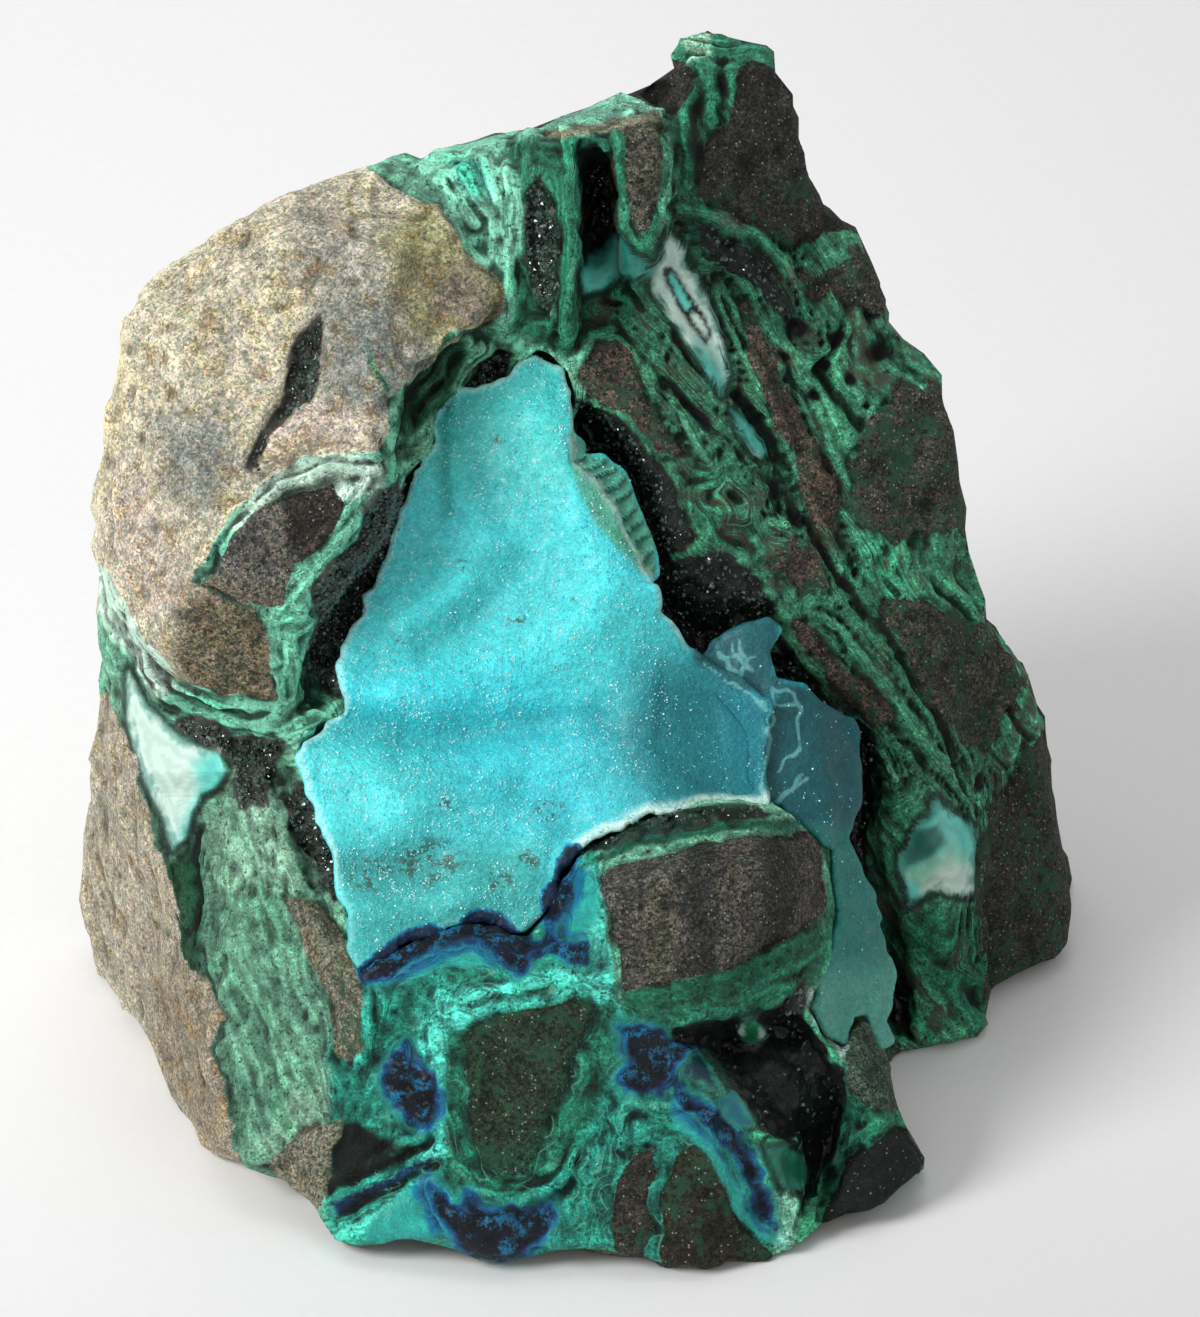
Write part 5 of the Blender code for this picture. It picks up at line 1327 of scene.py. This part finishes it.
def scattered(mesh, weight, count, draw):
    """Places on a mesh's faces, drawn by area and weight, with the faces' normals."""
    mesh.calc_loop_triangles()
    corners = np.empty(len(mesh.loop_triangles) * 3, np.int32)
    mesh.loop_triangles.foreach_get("vertices", corners)
    corners = corners.reshape(-1, 3)
    points, _ = places(mesh)
    a, b, c = (points[corners[:, k]] for k in range(3))
    normal = np.cross(b - a, c - a)
    area = np.linalg.norm(normal, axis=1)
    chance = area * weight[corners].mean(axis=1)
    picked = draw.choice(len(corners), count, p=chance / chance.sum())
    u, v = draw.random((2, count))
    over = u + v > 1
    u, v = np.where(over, 1 - u, u)[:, None], np.where(over, 1 - v, v)[:, None]
    spots = a[picked] * (1 - u - v) + b[picked] * u + c[picked] * v
    return spots, normal[picked] / area[picked][:, None]


def face_frame_copy(name):
    """A finished piece's mesh, laid back down in the face frame."""
    mesh = bpy.data.objects[name].data.copy()
    mesh.transform(stand_up().inverted())
    return mesh


def build_quartz(sizes):
    """Small quartz points over the crust."""
    draw = np.random.default_rng(5)
    mesh = face_frame_copy("blue_crust")
    points, normals = places(mesh)
    flat = seen(points)
    weight = eased(normals[:, 2] - 0.3, 0.3)
    weight *= 0.25 + 0.75 * eased(depth_in(flat, DRUSE_OUTLINE, 3.0), 0.5)
    weight *= (0.5 + 0.45 * swell(points, 4.0, 71)) * (1 - 0.8 * eased(flat[:, 0] - 2, 10.0))
    weight *= 1 - eased(deepest(flat, AZURES[:1]) + 0.1, 0.2)
    spots, lean = scattered(mesh, weight, sizes.quartz_points, draw)
    bpy.data.meshes.remove(mesh)
    lean = lean + draw.normal(0, 0.38, lean.shape)
    radius = 0.05 + 0.075 * draw.random(len(spots)) ** 3
    size = np.stack([radius, radius * draw.uniform(1.1, 1.9, len(spots))], axis=1)
    piece = crystal_points("quartz_points", spots, lean, size, draw)
    clear = point_material("quartz", shade("35B8C4"), shade("B8E8E8"), 0.2)
    finished(piece, clear, rounded=False)


def build_lining(sizes):
    """Dark crystals that line the clefts."""
    draw = np.random.default_rng(6)
    mesh = face_frame_copy("veined_rock")
    points, normals = places(mesh)
    flat = seen(points)
    weight = eased(deepest(flat, [outline for _, outline in DARKS]) - 0.2, 0.4)
    weight *= eased(normals[:, 2] + 0.1, 0.3)
    weight *= 1 - eased(depth_in(points[:, :2], DRUSE_OUTLINE, 3.0) + 0.1, 0.3)
    weight *= 1 - 0.85 * eased(-34 - flat[:, 1], 2.0) * eased(flat[:, 0] - 10, 2.0)
    weight *= 1 - 0.75 * eased(flat[:, 0] + 0.5, 1.0)
    weight *= eased(0.4 - deepest(flat, MILKS), 0.4)
    spots, lean = scattered(mesh, weight, sizes.dark_points, draw)
    bpy.data.meshes.remove(mesh)
    lean = lean + draw.normal(0, 0.45, lean.shape)
    radius = 0.11 + 0.20 * draw.random(len(spots)) ** 2
    size = np.stack([radius, radius * draw.uniform(1.0, 1.8, len(spots))], axis=1)
    piece = crystal_points("cleft_crystals", spots, lean, size, draw)
    dark = point_material("cleft_quartz", shade("0C1612"), shade("3E5248"), 0.1)
    finished(piece, dark, rounded=False)


def area_light(name, place, size, power):
    """A round soft light that looks at the middle of the specimen."""
    lamp = bpy.data.lights.new(name, "AREA")
    lamp.shape = "DISK"
    lamp.size = size
    lamp.energy = power
    made = link(name, lamp)
    made.location = place
    made.rotation_euler = (Vector(LIGHT_AIM) - Vector(place)).to_track_quat("-Z", "Y").to_euler()


def build_stage(look):
    """The floor, the lights and the camera."""
    sheet = bmesh.new()
    bmesh.ops.create_grid(sheet, x_segments=24, y_segments=24, size=FLOOR_HALF)
    mesh = bpy.data.meshes.new("studio_floor")
    sheet.to_mesh(mesh)
    sheet.free()
    mesh.materials.append(floor_material(look.floor_colour))
    link("studio_floor", mesh)
    area_light("key", (-0.55, -0.36, 0.50), 0.36, look.key_power)
    area_light("fill", (0.9, -1.5, 1.1), 1.2, look.fill_power)
    area_light("top", (-0.1, 0.5, 1.6), 1.0, look.top_power)
    world = bpy.data.worlds.new("studio")
    world.use_nodes = True
    sky = world.node_tree.nodes["Background"]
    sky.inputs["Color"].default_value = (*look.world_colour, 1)
    sky.inputs["Strength"].default_value = look.world_strength
    scene = bpy.context.scene
    scene.world = world
    scene.view_settings.view_transform = "Standard"
    lens = bpy.data.cameras.new("camera")
    lens.sensor_width = SENSOR
    lens.lens = SENSOR * EYE_GAP / look.view_height
    lens.clip_start, lens.clip_end = 0.1, 20.0
    camera = link("camera", lens)
    aim = stand_up() @ Vector((*EYE_AIM, 0))
    camera.location = stand_up() @ Vector((*EYE_AIM, EYE_GAP))
    camera.rotation_euler = (aim - camera.location).to_track_quat("-Z", "Y").to_euler()
    scene.camera = camera


# ---------------------------------------------------------------- what a user may change


class SpecimenSizes(bpy.types.PropertyGroup):
    rock_cell: FloatProperty(
        name="Rock cell", description="Spacing of the rock's mesh on the open face, in mm", default=0.42)
    rock_triangles: IntProperty(
        name="Rock triangles", description="Triangles of the finished rock", default=194000)
    relief: FloatProperty(
        name="Relief", description="Height of the rock's grain, bands and ridges", default=1.0,
        subtype="FACTOR")
    crust_cell: FloatProperty(
        name="Crust cell", description="Spacing of the crust's mesh, in mm", default=0.3)
    quartz_points: IntProperty(
        name="Quartz points", description="Number of quartz points on the crust", default=10500)
    dark_points: IntProperty(
        name="Cleft crystals", description="Number of dark crystals in the clefts", default=5200)


class SpecimenStage(bpy.types.PropertyGroup):
    floor_colour: FloatVectorProperty(
        name="Floor", description="Colour of the floor", default=(0.92, 0.92, 0.92), subtype="COLOR")
    world_colour: FloatVectorProperty(
        name="Surroundings", description="Colour of the light from all round", default=(1.0, 1.0, 1.0),
        subtype="COLOR")
    world_strength: FloatProperty(
        name="Surrounding light", description="Strength of the light from all round", default=0.51)
    key_power: FloatProperty(
        name="Key light", description="Power of the lamp on the left, in watts", default=5.75)
    fill_power: FloatProperty(
        name="Fill light", description="Power of the lamp on the right, in watts", default=3.1)
    top_power: FloatProperty(
        name="Top light", description="Power of the lamp overhead, in watts", default=4.0)
    view_height: FloatProperty(
        name="View height", description="Height of the view at the face, in mm", default=131.7)


class SPECIMEN_OT_rock(bpy.types.Operator):
    """Builds the veined rock with its stones, veins and windows"""
    bl_idname = "specimen.rock"
    bl_label = "Veined rock"

    def execute(self, context):
        build_rock(context.scene.specimen_sizes)
        return {"FINISHED"}


class SPECIMEN_OT_crust(bpy.types.Operator):
    """Builds the blue crust in the open face"""
    bl_idname = "specimen.crust"
    bl_label = "Blue crust"

    def execute(self, context):
        build_crust(context.scene.specimen_sizes)
        return {"FINISHED"}


class SPECIMEN_OT_crystals(bpy.types.Operator):
    """Grows the quartz points on the crust and the dark crystals in the clefts"""
    bl_idname = "specimen.crystals"
    bl_label = "Crystals"

    def execute(self, context):
        build_quartz(context.scene.specimen_sizes)
        build_lining(context.scene.specimen_sizes)
        return {"FINISHED"}


class SPECIMEN_OT_stage(bpy.types.Operator):
    """Sets up the floor, the lights and the camera"""
    bl_idname = "specimen.stage"
    bl_label = "Stage"

    def execute(self, context):
        build_stage(context.scene.specimen_stage)
        return {"FINISHED"}


class SPECIMEN_PT_panel(bpy.types.Panel):
    """Lists the specimen's pieces and what can be changed"""
    bl_idname = "SPECIMEN_PT_panel"
    bl_label = "Chrysocolla specimen"
    bl_space_type = "VIEW_3D"
    bl_region_type = "UI"
    bl_category = "Specimen"

    def draw(self, context):
        for operator in OPERATORS:
            self.layout.operator(operator.bl_idname)
        for group in (context.scene.specimen_sizes, context.scene.specimen_stage):
            box = self.layout.box()
            for name in group.__annotations__:
                box.prop(group, name)


OPERATORS = (SPECIMEN_OT_rock, SPECIMEN_OT_crust, SPECIMEN_OT_crystals, SPECIMEN_OT_stage)
CLASSES = (SpecimenSizes, SpecimenStage, *OPERATORS, SPECIMEN_PT_panel)


def register():
    for made in CLASSES:
        bpy.utils.register_class(made)
    bpy.types.Scene.specimen_sizes = PointerProperty(type=SpecimenSizes)
    bpy.types.Scene.specimen_stage = PointerProperty(type=SpecimenStage)


def unregister():
    del bpy.types.Scene.specimen_sizes
    del bpy.types.Scene.specimen_stage
    for made in reversed(CLASSES):
        bpy.utils.unregister_class(made)


def main():
    register()
    bpy.ops.specimen.rock()
    bpy.ops.specimen.crust()
    bpy.ops.specimen.crystals()
    bpy.ops.specimen.stage()


if __name__ == "__main__":
    main()
